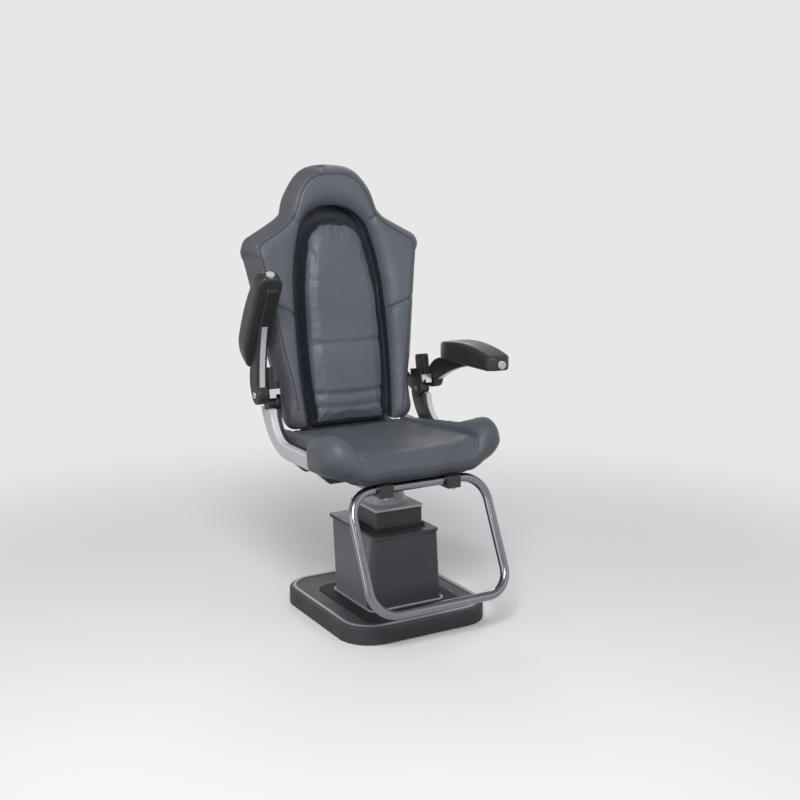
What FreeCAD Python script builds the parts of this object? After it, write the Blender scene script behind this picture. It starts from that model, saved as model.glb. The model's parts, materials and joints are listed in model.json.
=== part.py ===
import FreeCAD, Part
import math
import os
from FreeCAD import Vector

os.makedirs("parts", exist_ok=True)

# Ophthalmic examination chair, in millimetres. The sitter faces -Y, +X is the sitter's left and
# +Z is up. The origin is on the floor, on the swivel axis.

# Shared clearances
overrun = 2.0
quarter_turn = 90.0
seat_gap = 0.3
running_gap = 0.08
slide_gap = 0.1

# Base
base_half_width = 222.0
base_front = -237.0
base_back = 242.0
base_corner = 95.0
base_height = 48.0
base_floor_gap = 2.0
base_wall = 3.0
base_edge_round = 6.0
plate_inset = 14.0
plate_thickness = 12.0
foot_height = 5.0
foot_radius = 24.0
foot_stud_radius = 5.0
foot_inset = 70.0
standoff_radius = 9.0
standoff_reach_x = 138.0
standoff_front = -150.0
standoff_back = 100.0
screw_radius = 2.5
screw_head_radius = 4.5
screw_head_height = 2.6
screw_length = 14.0
edge_trim_inset = 4.0
edge_trim_width = 9.0
edge_trim_height = 3.0
mat_half_width = 158.0
mat_front = -205.0
mat_back = 135.0
mat_corner = 40.0
mat_thickness = 3.0

# Lower column housing
housing_top = 250.0
housing_half_width_low = 113.0
housing_half_width_high = 101.0
housing_front = -124.0
housing_back_low = 95.0
housing_back_high = 138.0
housing_corner = 14.0
housing_wall = 3.0
housing_bulge = 5.0
housing_split_depth = 26.0
housing_seam = 0.4
foot_trim_width = 7.0
foot_trim_height = 6.0
lid_thickness = 8.0
lid_front_overhang = 2.0
lid_back_overhang = 20.0
lid_round = 2.5
gasket_width = 9.0
gasket_height = 8.0
housing_screw_low = 80.0
housing_screw_high = 215.0

# Telescoping column
column_y = -8.0
lift_travel = 160.0
outer_tube_side = 112.0
outer_tube_wall = 4.0
outer_tube_top = 242.0
tube_corner = 8.0
inner_tube_side = 98.0
inner_tube_wall = 3.0
inner_tube_overlap = 57.0
pad_width = 60.0
outer_pad_height = 28.0
inner_pad_height = 20.0
gearbox_width = 84.0
gearbox_depth = 70.0
gearbox_height = 40.0
motor_radius = 20.0
motor_height = 112.0
motor_offset = 22.0
actuator_radius = 18.0
actuator_engagement = 62.0
actuator_offset = -20.0
rod_radius = 11.0
rod_lift = 6.0
sleeve_half_width = 73.0
sleeve_depth = 151.0
sleeve_wall = 2.5
sleeve_overlap = 50.0
sleeve_top = 314.0
sleeve_corner = 6.0
head_plate_thickness = 8.0
cap_overhang = 2.5
cap_thickness = 7.0
cap_round = 2.5
swivel_housing_low_radius = 62.0
swivel_housing_high_radius = 50.0
swivel_housing_height = 34.0
bearing_outer_radius = 31.0
bearing_height = 12.0
bearing_edge = 3.0
spindle_radius = 17.5
spindle_flange_radius = 48.0
spindle_flange_thickness = 10.0

# Control box and mains inlet
control_half_width = 75.0
control_front = 108.0
control_depth = 80.0
control_height = 24.0
inlet_half_width = 24.5
inlet_depth = 45.0
inlet_low = 14.0
inlet_height = 25.0
inlet_flange = 3.5
inlet_flange_thickness = 2.5
inlet_socket_half_width = 12.5
inlet_socket_height = 16.0
inlet_socket_depth = 22.0
inlet_notch_half_width = 34.0
inlet_notch_depth = 50.0

# Seat frame
mount_plate_half_width = 118.0
mount_plate_half_depth = 95.0
mount_plate_thickness = 9.0
mount_plate_bottom = 388.0
frame_tube = 25.0
frame_tube_wall = 2.0
rail_x = 105.0
rail_back = 205.0
cross_front_y = -15.0
cross_rear_y = 142.0
back_side_gap = 13.56
side_plate_thickness = 5.0
side_plate_front = -56.0
side_plate_back = 150.0
side_plate_low = 441.0
side_plate_height = 43.0
side_arm_reach = 56.0

# Seat pan and cushion
pan_thickness = 4.0
pan_side_gap = 2.5
pan_front_inset = 44.0
pan_rear_inset = 24.0
pan_corner = 50.0
seat_half_width = 277.0
seat_side_gap = 2.0
seat_front = -225.0
seat_rear = 262.0
seat_step = -66.0
seat_front_height = 73.0
seat_rear_height = 66.0
seat_bolster_rise = 61.0
seat_rear_bolster_rise = 9.0
seat_base_lift = 40.0
seat_corner_setback = 62.0
seat_crest_depth = 80.0
seat_nose_radius = 42.0
seat_rear_radius = 18.0
seat_sag = 5.0
seat_channel_x = 182.0
seat_channel_radius = 5.0
seat_nose_height_share = 0.5
seat_rear_middle_share = 0.55
seat_low_turn_shares = (0.24, 0.3)
seat_high_turn_shares = (0.3, 0.72)
seat_rear_turn_shares = (0.25, 0.3)
seat_channel_rise_share = 0.3
# One row per station: across, base lift, corner setback, bolster rise
seat_station_shares = (
    (0.0, 0.0, 0.0, 0.0),
    (0.43, 0.0, 0.01, 0.03),
    (0.64, 0.0, 0.05, 0.26),
    (0.76, 0.36, 0.12, 0.82),
    (0.86, 0.56, 0.28, 1.0),
    (0.95, 0.74, 0.6, 0.84),
    (1.0, 0.95, 1.0, 0.36),
)

# Footrest hoop
hoop_radius = 12.5
hoop_half_width = 209.0
hoop_corner = 70.0
hoop_top_y = -176.0
hoop_top_z = 408.0
hoop_length = 329.0
hoop_tilt = 26.0
clamp_width = 40.0
clamp_half_depth = 24.0
clamp_bottom = 388.0
clamp_screw_radius = 3.0
clamp_screw_head = 5.0
clamp_screw_edge = 5.8

# Recliner hinge and side brackets
hinge_y = 212.0
hinge_z = 587.0
recline = 10.0
bracket_thickness = 12.0
bracket_cover_thickness = 20.0
bracket_front = -62.0
bracket_low = 450.0
bracket_leg_height = 40.0
bracket_bend_front = 88.0
bracket_leg_front = 182.0
bracket_leg_back = 248.0
bracket_cover_drop = 13.0
bracket_edge_lip = 2.0
bracket_lug_radius = 22.0
bracket_bolt_radius = 5.0
bracket_bolt_head = 9.0
bracket_bolt_reach = 6.0
bracket_bolt_shares = (0.1, 0.44, 0.76)
bracket_outer_turn_shares = (0.64, 0.30)
bracket_inner_turn_shares = (0.72, 0.29)
hinge_pin_radius = 8.0
hub_radius = 18.0
hub_clearance = 1.0
hub_face_thickness = 3.0
pin_end_gap = 2.0
body_gap = 0.5
recliner_plate_thickness = 5.5
recliner_plate_radius = 26.0
recliner_plate_rise = 60.0
recliner_arm_radius = 17.0
block_front = -32.0
block_back = 24.0
block_top = 40.0
block_low = 14.0
block_arch_radius = 28.0
block_lug_gap = 2.0
pivot_cover_height = 62.0
pivot_cover_inset = 3.0
pivot_cover_thickness = 18.0

# Backrest, in its own leaning frame with the hinge axis at its origin
back_half_width = 289.0
hinge_width_share = 0.742
back_bottom = -87.0
back_top = 680.0
back_front = -23.0
back_rear = 50.0
panel_front = -10.0
panel_bottom = -88.0
panel_apex = 520.0
panel_half_width = 126.0
groove_width = 21.0
groove_top_width = 42.0
panel_channel_radius = 3.5
panel_channel_shares = (0.16, 0.40, 0.70)
lower_sweep_radius = 88.0
board_thickness = 6.0
board_inset = 20.0
shell_depth = 44.0
shell_wall = 3.0
back_tube_radius = 11.0
back_tube_wall = 1.5
back_tube_x = 118.0
back_tube_top = 520.0
back_cross_low = 45.0
back_cross_high = 430.0
# Half outline from the bottom corner to the top, as shares of half width and of height
back_outline_shares = (
    (0.62, 0.0), (0.69, 0.014), (0.72, 0.06),
    (0.742, 0.152), (0.795, 0.246),
    (0.862, 0.399), (0.917, 0.522),
    (0.955, 0.606), (0.982, 0.66),
    (1.0, 0.702), (0.94, 0.732),
    (0.765, 0.766), (0.625, 0.796),
    (0.545, 0.828), (0.512, 0.862),
    (0.47, 0.906), (0.395, 0.947),
    (0.30, 0.979), (0.165, 0.997),
)
# Half outline of the centre panel from its bottom to its apex
panel_outline_shares = (
    (0.91, 0.0), (1.0, 0.28), (0.985, 0.53),
    (0.91, 0.74), (0.77, 0.865),
    (0.50, 0.965), (0.0, 1.0),
)
crown_share = 0.06
# Depth stations of the surround: depth from front to rear, then inset as a share of half width
surround_depth_shares = ((0.0, 0.13), (0.06, 0.06), (0.24, 0.015), (0.6, 0.0), (1.0, 0.035))
panel_depth_shares = ((0.0, 0.12), (0.14, 0.045), (0.45, 0.0), (1.0, 0.02))
opening_depth_shares = ((0.0, 0.12), (0.22, 0.04), (0.5, 0.0), (1.0, 0.0))
shell_cut_share = 0.6
shell_depth_shares = ((0.0, 0.05), (0.5, 0.07), (0.88, 0.15), (1.0, 0.26))

# Armrests, modelled lowered, on the sitter's left
arm_pivot_back = -16.0
arm_pivot_rise = 27.0
arm_overhang = 16.0
arm_width = 74.0
arm_reach = 345.0
arm_pad_length = 300.0
arm_pad_top = 132.0
arm_pad_thickness = 62.0
arm_pad_tip_drop = 26.0
arm_pad_rear_drop = 20.0
arm_edge_round = 14.0
arm_pad_round = 5.0
neck_gap = 6.0
neck_width = 30.0
neck_root_radius = 27.0
neck_plate_thickness = 6.0
neck_front_inset = 33.0
neck_rear_inset = 11.0
neck_end_shares = (0.77, 0.64)
neck_heel_shares = (0.94, 0.34)
neck_under_share = 0.48
neck_under_turn_shares = (0.45, 0.34)
neck_back_turn_shares = (0.5, 0.25)
strip_width = 16.0
strip_thickness = 2.0
arm_bolt_radius = 6.0
arm_bolt_head_radius = 10.0
arm_bolt_head_height = 4.0
arm_fold = 60.0
# Half outline of the pad from its tip to its rear: across, then along
arm_plan_shares = (
    (0.46, 0.0), (0.86, 0.045), (1.0, 0.16),
    (1.0, 0.66), (0.80, 0.87), (0.34, 1.0),
)
button_radius = 12.0
button_rise = 16.0
button_stand = 6.0
button_travel = 3.0
button_depth = 14.0
button_dome = 2.5


# Places across the chair, from the backrest's width at the hinge outwards
side_plate_x = hinge_width_share * back_half_width + back_side_gap
bracket_inner = side_plate_x + side_plate_thickness
bracket_outer = bracket_inner + bracket_thickness
cover_outer = bracket_outer + bracket_cover_thickness
neck_inner_x = cover_outer + neck_gap
neck_outer_x = neck_inner_x + neck_width
arm_inner_x = neck_inner_x - arm_overhang
arm_outer_x = arm_inner_x + arm_width
side_arm_root = side_plate_x - side_arm_reach
pan_half_width = side_arm_root + frame_tube / 2 - pan_side_gap
seat_rear_half_width = side_plate_x - seat_side_gap


def group(solids):
    return Part.makeCompound(solids)


def block(x0, x1, y0, y1, z0, z1):
    return Part.makeBox(x1 - x0, y1 - y0, z1 - z0, Vector(x0, y0, z0))


def rounded_wire(x0, x1, y0, y1, radius, z):
    slant = radius * (1 - math.sqrt(0.5))
    corners = (
        ((x1, y1 - radius), (x1 - slant, y1 - slant), (x1 - radius, y1)),
        ((x0 + radius, y1), (x0 + slant, y1 - slant), (x0, y1 - radius)),
        ((x0, y0 + radius), (x0 + slant, y0 + slant), (x0 + radius, y0)),
        ((x1 - radius, y0), (x1 - slant, y0 + slant), (x1, y0 + radius)),
    )
    edges = []
    for index, corner in enumerate(corners):
        points = [Vector(x, y, z) for x, y in corner]
        edges.append(Part.Arc(*points).toShape())
        after = corners[(index + 1) % len(corners)][0]
        edges.append(Part.LineSegment(points[2], Vector(after[0], after[1], z)).toShape())
    return Part.Wire(edges)


def rounded_block(x0, x1, y0, y1, z0, z1, radius):
    face = Part.Face(rounded_wire(x0, x1, y0, y1, radius, z0))
    return face.extrude(Vector(0, 0, z1 - z0))


def post(x, y, z0, z1, radius):
    return Part.makeCylinder(radius, z1 - z0, Vector(x, y, z0))


def axle(x0, x1, y, z, radius):
    return Part.makeCylinder(radius, x1 - x0, Vector(x0, y, z), Vector(1, 0, 0))


def plate_in_yz(edges, x0, x1):
    return Part.Face(Part.Wire(edges)).extrude(Vector(x1 - x0, 0, 0))


def line(a, b):
    return Part.LineSegment(a, b).toShape()


def arc(a, b, c):
    return Part.Arc(a, b, c).toShape()


def mirrored(solid):
    return solid.mirror(Vector(0, 0, 0), Vector(1, 0, 0))


def both_sides(solid):
    return [solid, mirrored(solid)]


def edges_at(solid, z):
    return [edge for edge in solid.Edges if all(abs(v.Z - z) < slide_gap for v in edge.Vertexes)]


def square_tube(side, wall, corner, z0, z1):
    half = side / 2
    inner = half - wall
    outside = rounded_block(-half, half, column_y - half, column_y + half, z0, z1, corner)
    inside = rounded_block(
        -inner, inner, column_y - inner, column_y + inner, z0 - overrun, z1 + overrun, corner - wall
    )
    return outside.cut(inside)


def save(name, shape):
    shape.exportStep("parts/" + name + ".step")


# Base plate and cover

plate_bottom = foot_height
plate_top = plate_bottom + plate_thickness
cover_underside = base_height - base_wall


def base_outline(inset, z0, z1):
    return rounded_block(
        -base_half_width + inset, base_half_width - inset,
        base_front + inset, base_back - inset, z0, z1, base_corner - inset,
    )


def foot_places():
    reach = base_half_width - foot_inset
    return [(sx * reach, y) for sx in (-1, 1) for y in (base_front + foot_inset, base_back - foot_inset)]


def standoff_places():
    return [(sx * standoff_reach_x, y) for sx in (-1, 1) for y in (standoff_front, standoff_back)]


def make_base_plate():
    plate = base_outline(plate_inset, plate_bottom, plate_top)
    notch = block(
        -inlet_notch_half_width, inlet_notch_half_width,
        base_back - plate_inset - inlet_notch_depth, base_back,
        plate_bottom - overrun, plate_top + overrun,
    )
    plate = plate.cut(notch)
    for x, y in foot_places():
        plate = plate.cut(post(x, y, plate_bottom - overrun, plate_top + overrun, foot_stud_radius))
    for x, y in standoff_places():
        pillar = post(x, y, plate_top, cover_underside, standoff_radius)
        plate = plate.fuse(pillar)
        hole_bottom = base_height - screw_length
        plate = plate.cut(post(x, y, hole_bottom, base_height, screw_radius))
    return plate


def make_levelling_feet():
    feet = []
    for x, y in foot_places():
        pad = post(x, y, 0, foot_height, foot_radius)
        stud = post(x, y, foot_height, plate_top, foot_stud_radius)
        feet.append(pad.fuse(stud))
    feet.append(post(0, 0, 0, foot_height, foot_radius))
    return group(feet)


def make_base_cover():
    outside = base_outline(0, base_floor_gap, base_height)
    outside = outside.makeFillet(base_edge_round, edges_at(outside, base_height))
    inside = base_outline(base_wall, base_floor_gap - overrun, cover_underside)
    cover = outside.cut(inside)
    inner = housing_half_width_low - housing_wall
    column_hole = rounded_block(
        -inner, inner, housing_front + housing_wall, housing_back_low - housing_wall,
        cover_underside - overrun, base_height + overrun, housing_corner,
    )
    cover = cover.cut(column_hole)
    for x, y in standoff_places():
        cover = cover.cut(post(x, y, cover_underside - overrun, base_height + overrun, screw_radius))
        head_bottom = base_height - screw_head_height
        cover = cover.cut(post(x, y, head_bottom, base_height + overrun, screw_head_radius))
    inlet_hole = block(
        -inlet_half_width, inlet_half_width, base_back - base_wall - overrun, base_back + overrun,
        inlet_low, inlet_low + inlet_height,
    )
    return cover.cut(inlet_hole)


def make_base_edge_trim():
    top = base_height + edge_trim_height
    inset = base_edge_round + edge_trim_inset
    ring = base_outline(inset, base_height, top)
    hole = base_outline(inset + edge_trim_width, base_height - overrun, top + overrun)
    return ring.cut(hole)


def housing_half_at(z):
    share = (z - base_height) / (housing_top - base_height)
    return housing_half_width_low + share * (housing_half_width_high - housing_half_width_low)


def housing_back_at(z):
    share = (z - base_height) / (housing_top - base_height)
    return housing_back_low + share * (housing_back_high - housing_back_low)


def housing_wire(inset, z):
    half = housing_half_at(z) - inset
    back = housing_back_at(z) - inset
    front = housing_front + inset
    radius = housing_corner
    slant = radius * (1 - math.sqrt(0.5))
    start = Vector(half - radius, back, z)
    points = [
        ((half, back - radius), (half - slant, back - slant)),
        ((half, front + radius), None),
        ((half - radius, front), (half - slant, front + slant)),
        ((-half + radius, front), (0, front - housing_bulge)),
        ((-half, front + radius), (-half + slant, front + slant)),
        ((-half, back - radius), None),
        ((-half + radius, back), (-half + slant, back - slant)),
        ((half - radius, back), None),
    ]
    edges = []
    here = start
    for end, middle in points:
        there = Vector(end[0], end[1], z)
        if middle is None:
            edges.append(line(here, there))
        else:
            edges.append(arc(here, Vector(middle[0], middle[1], z), there))
        here = there
    return Part.Wire(edges)


def housing_solid(inset, z0, z1):
    return Part.makeLoft([housing_wire(inset, z0), housing_wire(inset, z1)], True, True)


def housing_shell():
    outside = housing_solid(0, base_height + seat_gap, housing_top)
    inside = housing_solid(housing_wall, base_height - overrun, housing_top + overrun)
    return outside.cut(inside)


def front_region(y):
    return block(
        -base_half_width, base_half_width, base_front, y, 0, housing_top + overrun
    )


housing_split = housing_front + housing_split_depth


def make_lower_front_cover():
    return housing_shell().common(front_region(housing_split - housing_seam / 2))


def make_lower_rear_cover():
    cover = housing_shell().cut(front_region(housing_split + housing_seam / 2))
    for solid in housing_screw_solids(overrun):
        cover = cover.cut(solid)
    return cover


def housing_screw_solids(lift):
    solids = []
    for z in (housing_screw_low, housing_screw_high):
        y = housing_split + housing_corner
        for side in (-1, 1):
            inner = housing_half_at(z) - housing_wall - overrun
            outer = housing_half_at(z) + lift
            x0 = inner if side > 0 else -outer
            x1 = outer if side > 0 else -inner
            solids.append(axle(x0, x1, y, z, screw_radius))
    return solids


def make_cover_screws():
    solids = []
    for x, y in standoff_places():
        head = post(x, y, base_height - screw_head_height, base_height, screw_head_radius)
        shank = post(x, y, base_height - screw_length, base_height - screw_head_height, screw_radius)
        solids.append(head.fuse(shank))
    return group(solids + housing_screw_solids(screw_head_height / 2))


def make_column_foot_trim():
    top = base_height + foot_trim_height
    radius = housing_corner + foot_trim_width
    half = housing_half_width_low + foot_trim_width
    ring = rounded_block(
        -half, half, housing_front - housing_bulge - foot_trim_width, housing_back_low + foot_trim_width,
        base_height, top, radius,
    )
    core_half = housing_half_width_low + seat_gap
    core = rounded_block(
        -core_half, core_half, housing_front - housing_bulge - seat_gap,
        housing_back_at(top) + seat_gap,
        base_height - overrun, top + overrun, housing_corner,
    )
    return ring.cut(core)


def make_base_mat():
    top = base_height + mat_thickness
    mat = rounded_block(-mat_half_width, mat_half_width, mat_front, mat_back, base_height, top, mat_corner)
    half = housing_half_width_low + foot_trim_width + seat_gap
    hole = rounded_block(
        -half, half, housing_front - housing_bulge - foot_trim_width - seat_gap,
        housing_back_low + foot_trim_width + seat_gap,
        base_height - overrun, top + overrun, housing_corner + foot_trim_width,
    )
    return mat.cut(hole)


# Column housing lid, guide tubes and actuator

lid_top = housing_top + lid_thickness
sleeve_bottom = housing_top - lift_travel - sleeve_overlap
inner_tube_bottom = outer_tube_top - lift_travel - inner_tube_overlap
actuator_height = lift_travel + actuator_engagement
sleeve_front = column_y - sleeve_depth / 2
sleeve_back = column_y + sleeve_depth / 2


def sleeve_block(margin, z0, z1):
    half = sleeve_half_width + margin
    return rounded_block(
        -half, half, sleeve_front - margin, sleeve_back + margin, z0, z1, sleeve_corner + margin
    )


def make_housing_lid():
    half = housing_half_width_high
    lid = rounded_block(
        -half, half, housing_front - housing_bulge - lid_front_overhang,
        housing_back_high + lid_back_overhang, housing_top, lid_top, housing_corner,
    )
    lid = lid.makeFillet(lid_round, edges_at(lid, lid_top))
    return lid.cut(sleeve_block(body_gap, housing_top - overrun, lid_top + overrun))


def make_wiper_gasket():
    top = lid_top + gasket_height
    ring = sleeve_block(gasket_width, lid_top, top)
    ring = ring.makeFillet(lid_round, edges_at(ring, top))
    return ring.cut(sleeve_block(seat_gap, lid_top - overrun, top + overrun))


def guide_pads(outer_half, inner_half, z0, z1):
    solids = []
    half = pad_width / 2
    for side in (-1, 1):
        x0, x1 = sorted((side * inner_half, side * outer_half))
        solids.append(block(x0, x1, column_y - half, column_y + half, z0, z1))
        solids.append(block(-half, half, column_y + x0, column_y + x1, z0, z1))
    return group(solids)


outer_tube_bore = outer_tube_side / 2 - outer_tube_wall
inner_tube_half = inner_tube_side / 2


def make_outer_guide_tube():
    return square_tube(outer_tube_side, outer_tube_wall, tube_corner, plate_top, outer_tube_top)


def make_outer_guide_pads():
    low = outer_tube_top - outer_pad_height
    return guide_pads(outer_tube_bore, inner_tube_half + slide_gap, low, outer_tube_top)


def make_inner_guide_tube():
    return square_tube(inner_tube_side, inner_tube_wall, tube_corner, inner_tube_bottom, head_plate_bottom)


def make_inner_guide_pads():
    return guide_pads(
        outer_tube_bore - slide_gap, inner_tube_half, inner_tube_bottom, inner_tube_bottom + inner_pad_height
    )


head_plate_bottom = sleeve_top - head_plate_thickness
gearbox_top = plate_top + gearbox_height
actuator_y = column_y + actuator_offset


def make_actuator_gearbox():
    return rounded_block(
        -gearbox_width / 2, gearbox_width / 2, column_y - gearbox_depth / 2, column_y + gearbox_depth / 2,
        plate_top, gearbox_top, tube_corner,
    )


def make_actuator_motor():
    return post(0, column_y + motor_offset, gearbox_top, gearbox_top + motor_height, motor_radius)


def make_actuator_tube():
    tube = post(0, actuator_y, gearbox_top, gearbox_top + actuator_height, actuator_radius)
    bore = post(
        0, actuator_y, gearbox_top + rod_lift, gearbox_top + actuator_height + overrun,
        rod_radius + running_gap,
    )
    return tube.cut(bore)


def make_actuator_rod():
    return post(0, actuator_y, gearbox_top + 2 * rod_lift, head_plate_bottom, rod_radius)


def make_control_box():
    return rounded_block(
        -control_half_width, control_half_width, control_front, control_front + control_depth,
        plate_top, plate_top + control_height, tube_corner,
    )


def make_mains_inlet():
    back = base_back
    body = block(
        -inlet_half_width, inlet_half_width, back - inlet_depth, back, inlet_low, inlet_low + inlet_height
    )
    flange = block(
        -inlet_half_width - inlet_flange, inlet_half_width + inlet_flange, back,
        back + inlet_flange_thickness, inlet_low - inlet_flange, inlet_low + inlet_height + inlet_flange,
    )
    middle = inlet_low + inlet_height / 2
    mouth = back + inlet_flange_thickness
    socket = block(
        -inlet_socket_half_width, inlet_socket_half_width, mouth - inlet_socket_depth, mouth + overrun,
        middle - inlet_socket_height / 2, middle + inlet_socket_height / 2,
    )
    return body.fuse(flange).cut(socket)


# Lifting sleeve and swivel head

cap_top = sleeve_top + cap_thickness
swivel_housing_top = cap_top + swivel_housing_height
spindle_flange_top = mount_plate_bottom
spindle_bottom = head_plate_bottom + head_plate_thickness + overrun


def make_upper_box_cover():
    outside = sleeve_block(0, sleeve_bottom, sleeve_top)
    inside = sleeve_block(-sleeve_wall, sleeve_bottom - overrun, sleeve_top + overrun)
    return outside.cut(inside)


def make_lift_head_plate():
    return sleeve_block(-sleeve_wall, head_plate_bottom, sleeve_top)


def make_upper_cap():
    cap = sleeve_block(cap_overhang, sleeve_top, cap_top)
    cap = cap.makeFillet(cap_round, edges_at(cap, cap_top))
    return cap.cut(post(0, 0, sleeve_top - overrun, cap_top + overrun, bearing_outer_radius))


def make_swivel_housing():
    cone = Part.makeCone(
        swivel_housing_low_radius, swivel_housing_high_radius, swivel_housing_height, Vector(0, 0, cap_top)
    )
    return cone.cut(post(0, 0, cap_top - overrun, swivel_housing_top + overrun, bearing_outer_radius))


def bearing_ring(z0):
    ring = post(0, 0, z0, z0 + bearing_height, bearing_outer_radius)
    return ring.cut(post(0, 0, z0 - overrun, z0 + bearing_height + overrun, spindle_radius + running_gap))


def make_swivel_bearings():
    return group([
        bearing_ring(sleeve_top + bearing_edge),
        bearing_ring(swivel_housing_top - bearing_edge - bearing_height),
    ])


def make_swivel_spindle():
    shaft = post(0, 0, spindle_bottom, spindle_flange_top - spindle_flange_thickness, spindle_radius)
    flange = post(
        0, 0, spindle_flange_top - spindle_flange_thickness, spindle_flange_top, spindle_flange_radius
    )
    return shaft.fuse(flange)


# Seat frame

frame_bottom = mount_plate_bottom + mount_plate_thickness
frame_top = frame_bottom + frame_tube
clamp_front = hoop_top_y - clamp_half_depth
clamp_back = hoop_top_y + clamp_half_depth


def make_seat_mount_plate():
    return rounded_block(
        -mount_plate_half_width, mount_plate_half_width, -mount_plate_half_depth, mount_plate_half_depth,
        mount_plate_bottom, frame_bottom, tube_corner,
    )


def rail(x):
    half = frame_tube / 2
    wall = frame_tube_wall
    outside = block(x - half, x + half, clamp_back, rail_back, frame_bottom, frame_top)
    inside = block(
        x - half + wall, x + half - wall, clamp_back - overrun, rail_back + overrun,
        frame_bottom + wall, frame_top - wall,
    )
    return outside.cut(inside)


def cross_piece(x0, x1, y):
    half = frame_tube / 2
    wall = frame_tube_wall
    outside = block(x0, x1, y - half, y + half, frame_bottom, frame_top)
    inside = block(
        x0 - overrun, x1 + overrun, y - half + wall, y + half - wall, frame_bottom + wall, frame_top - wall
    )
    return outside.cut(inside)


def make_seat_frame():
    half = frame_tube / 2
    solids = [rail(-rail_x), rail(rail_x)]
    for y in (cross_front_y, cross_rear_y):
        solids.append(cross_piece(-side_arm_root, -rail_x - half, y))
        solids.append(cross_piece(-rail_x + half, rail_x - half, y))
        solids.append(cross_piece(rail_x + half, side_arm_root, y))
    return group(solids)


def side_arm(y):
    half = frame_tube / 2
    corners = [
        Vector(side_arm_root, y - half, frame_bottom),
        Vector(side_arm_root + half, y - half, frame_bottom),
        Vector(bracket_inner, y - half, side_plate_low),
        Vector(side_plate_x, y - half, side_plate_low),
        Vector(side_arm_root + half, y - half, frame_top),
        Vector(side_arm_root, y - half, frame_top),
    ]
    edges = [line(corners[i], corners[(i + 1) % len(corners)]) for i in range(len(corners))]
    return Part.Face(Part.Wire(edges)).extrude(Vector(0, frame_tube, 0))


def make_seat_side_plates():
    plate = block(
        side_plate_x, bracket_inner, side_plate_front, side_plate_back,
        side_plate_low, side_plate_low + side_plate_height,
    )
    plate = plate.multiFuse([side_arm(cross_front_y), side_arm(cross_rear_y)]).removeSplitter()
    for y, z in bracket_bolt_places():
        plate = plate.cut(axle(side_plate_x - overrun, bracket_inner + overrun, y, z, bracket_bolt_radius))
    return group(both_sides(plate))


def make_seat_pan():
    return rounded_block(
        -pan_half_width, pan_half_width, seat_front + pan_front_inset, seat_rear - pan_rear_inset,
        frame_top, frame_top + pan_thickness, pan_corner,
    )


seat_bottom = frame_top + pan_thickness + seat_gap


def seat_section(side, station):
    across, lift, setback, rise = station
    x = side * across * seat_half_width
    low = seat_bottom + lift * seat_base_lift
    front = seat_front + setback * seat_corner_setback
    crest_y = front + seat_crest_depth
    crest_z = seat_bottom + seat_front_height + rise * seat_bolster_rise
    rear_z = seat_bottom + seat_rear_height + rise * seat_rear_bolster_rise
    nose_z = low + seat_nose_height_share * (crest_z - low)
    rear_y = seat_rear - seat_rear_radius
    rear_mid_z = low + seat_rear_middle_share * (rear_z - low)
    low_along, low_up = seat_low_turn_shares
    high_along, high_up = seat_high_turn_shares
    rear_along, rear_up = seat_rear_turn_shares
    turn_y = seat_rear - rear_along * seat_rear_radius
    bottom_rear = Vector(x, rear_y, low)
    bottom_front = Vector(x, front + seat_nose_radius, low)
    nose = Vector(x, front, nose_z)
    crest = Vector(x, crest_y, crest_z)
    top_rear = Vector(x, rear_y, rear_z)
    back = Vector(x, seat_rear, rear_mid_z)
    low_turn = Vector(x, front + low_along * seat_nose_radius, low + low_up * (nose_z - low))
    high_turn = Vector(x, front + high_along * seat_crest_depth, nose_z + high_up * (crest_z - nose_z))
    sag = Vector(x, (crest_y + rear_y) / 2, (crest_z + rear_z) / 2 - seat_sag)
    rear_high = Vector(x, turn_y, rear_z - rear_up * (rear_z - rear_mid_z))
    rear_low = Vector(x, turn_y, low + rear_up * (rear_mid_z - low))
    return Part.Wire([
        line(bottom_rear, bottom_front),
        arc(bottom_front, low_turn, nose),
        arc(nose, high_turn, crest),
        arc(crest, sag, top_rear),
        arc(top_rear, rear_high, back),
        arc(back, rear_low, bottom_rear),
    ])


def make_seat_cushion():
    left = [seat_section(1, station) for station in seat_station_shares]
    right = [seat_section(-1, station) for station in seat_station_shares[:0:-1]]
    cushion = Part.makeLoft(right + left, True, False)
    wide = seat_half_width + overrun
    under = block(-wide, wide, seat_front - overrun, seat_rear + overrun, frame_top, seat_bottom)
    cushion = cushion.cut(under)
    for side in (-1, 1):
        x0, x1 = sorted((side * seat_rear_half_width, side * wide))
        cushion = cushion.cut(block(x0, x1, seat_step, seat_rear + overrun, 0, hinge_z))
    front_z = seat_bottom + seat_front_height + seat_channel_rise_share * seat_bolster_rise
    rear_z = seat_bottom + seat_rear_height + seat_channel_rise_share * seat_rear_bolster_rise
    for side in (-1, 1):
        start = Vector(side * seat_channel_x, seat_front + seat_crest_depth / 2, front_z)
        end = Vector(side * seat_channel_x, seat_rear + overrun, rear_z)
        path = end.sub(start)
        cushion = cushion.cut(Part.makeCylinder(seat_channel_radius, path.Length, start, path))
    return cushion


# Footrest hoop, built upright from its top bar and then tilted

def bend(x, z, radius_x, start):
    ring = Part.Face(Part.Wire(Part.makeCircle(
        hoop_radius, Vector(x + radius_x, 0, z), Vector(0, 0, 1)
    )))
    return ring.revolve(Vector(x, 0, z), Vector(0, 1, 0), start)


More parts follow.
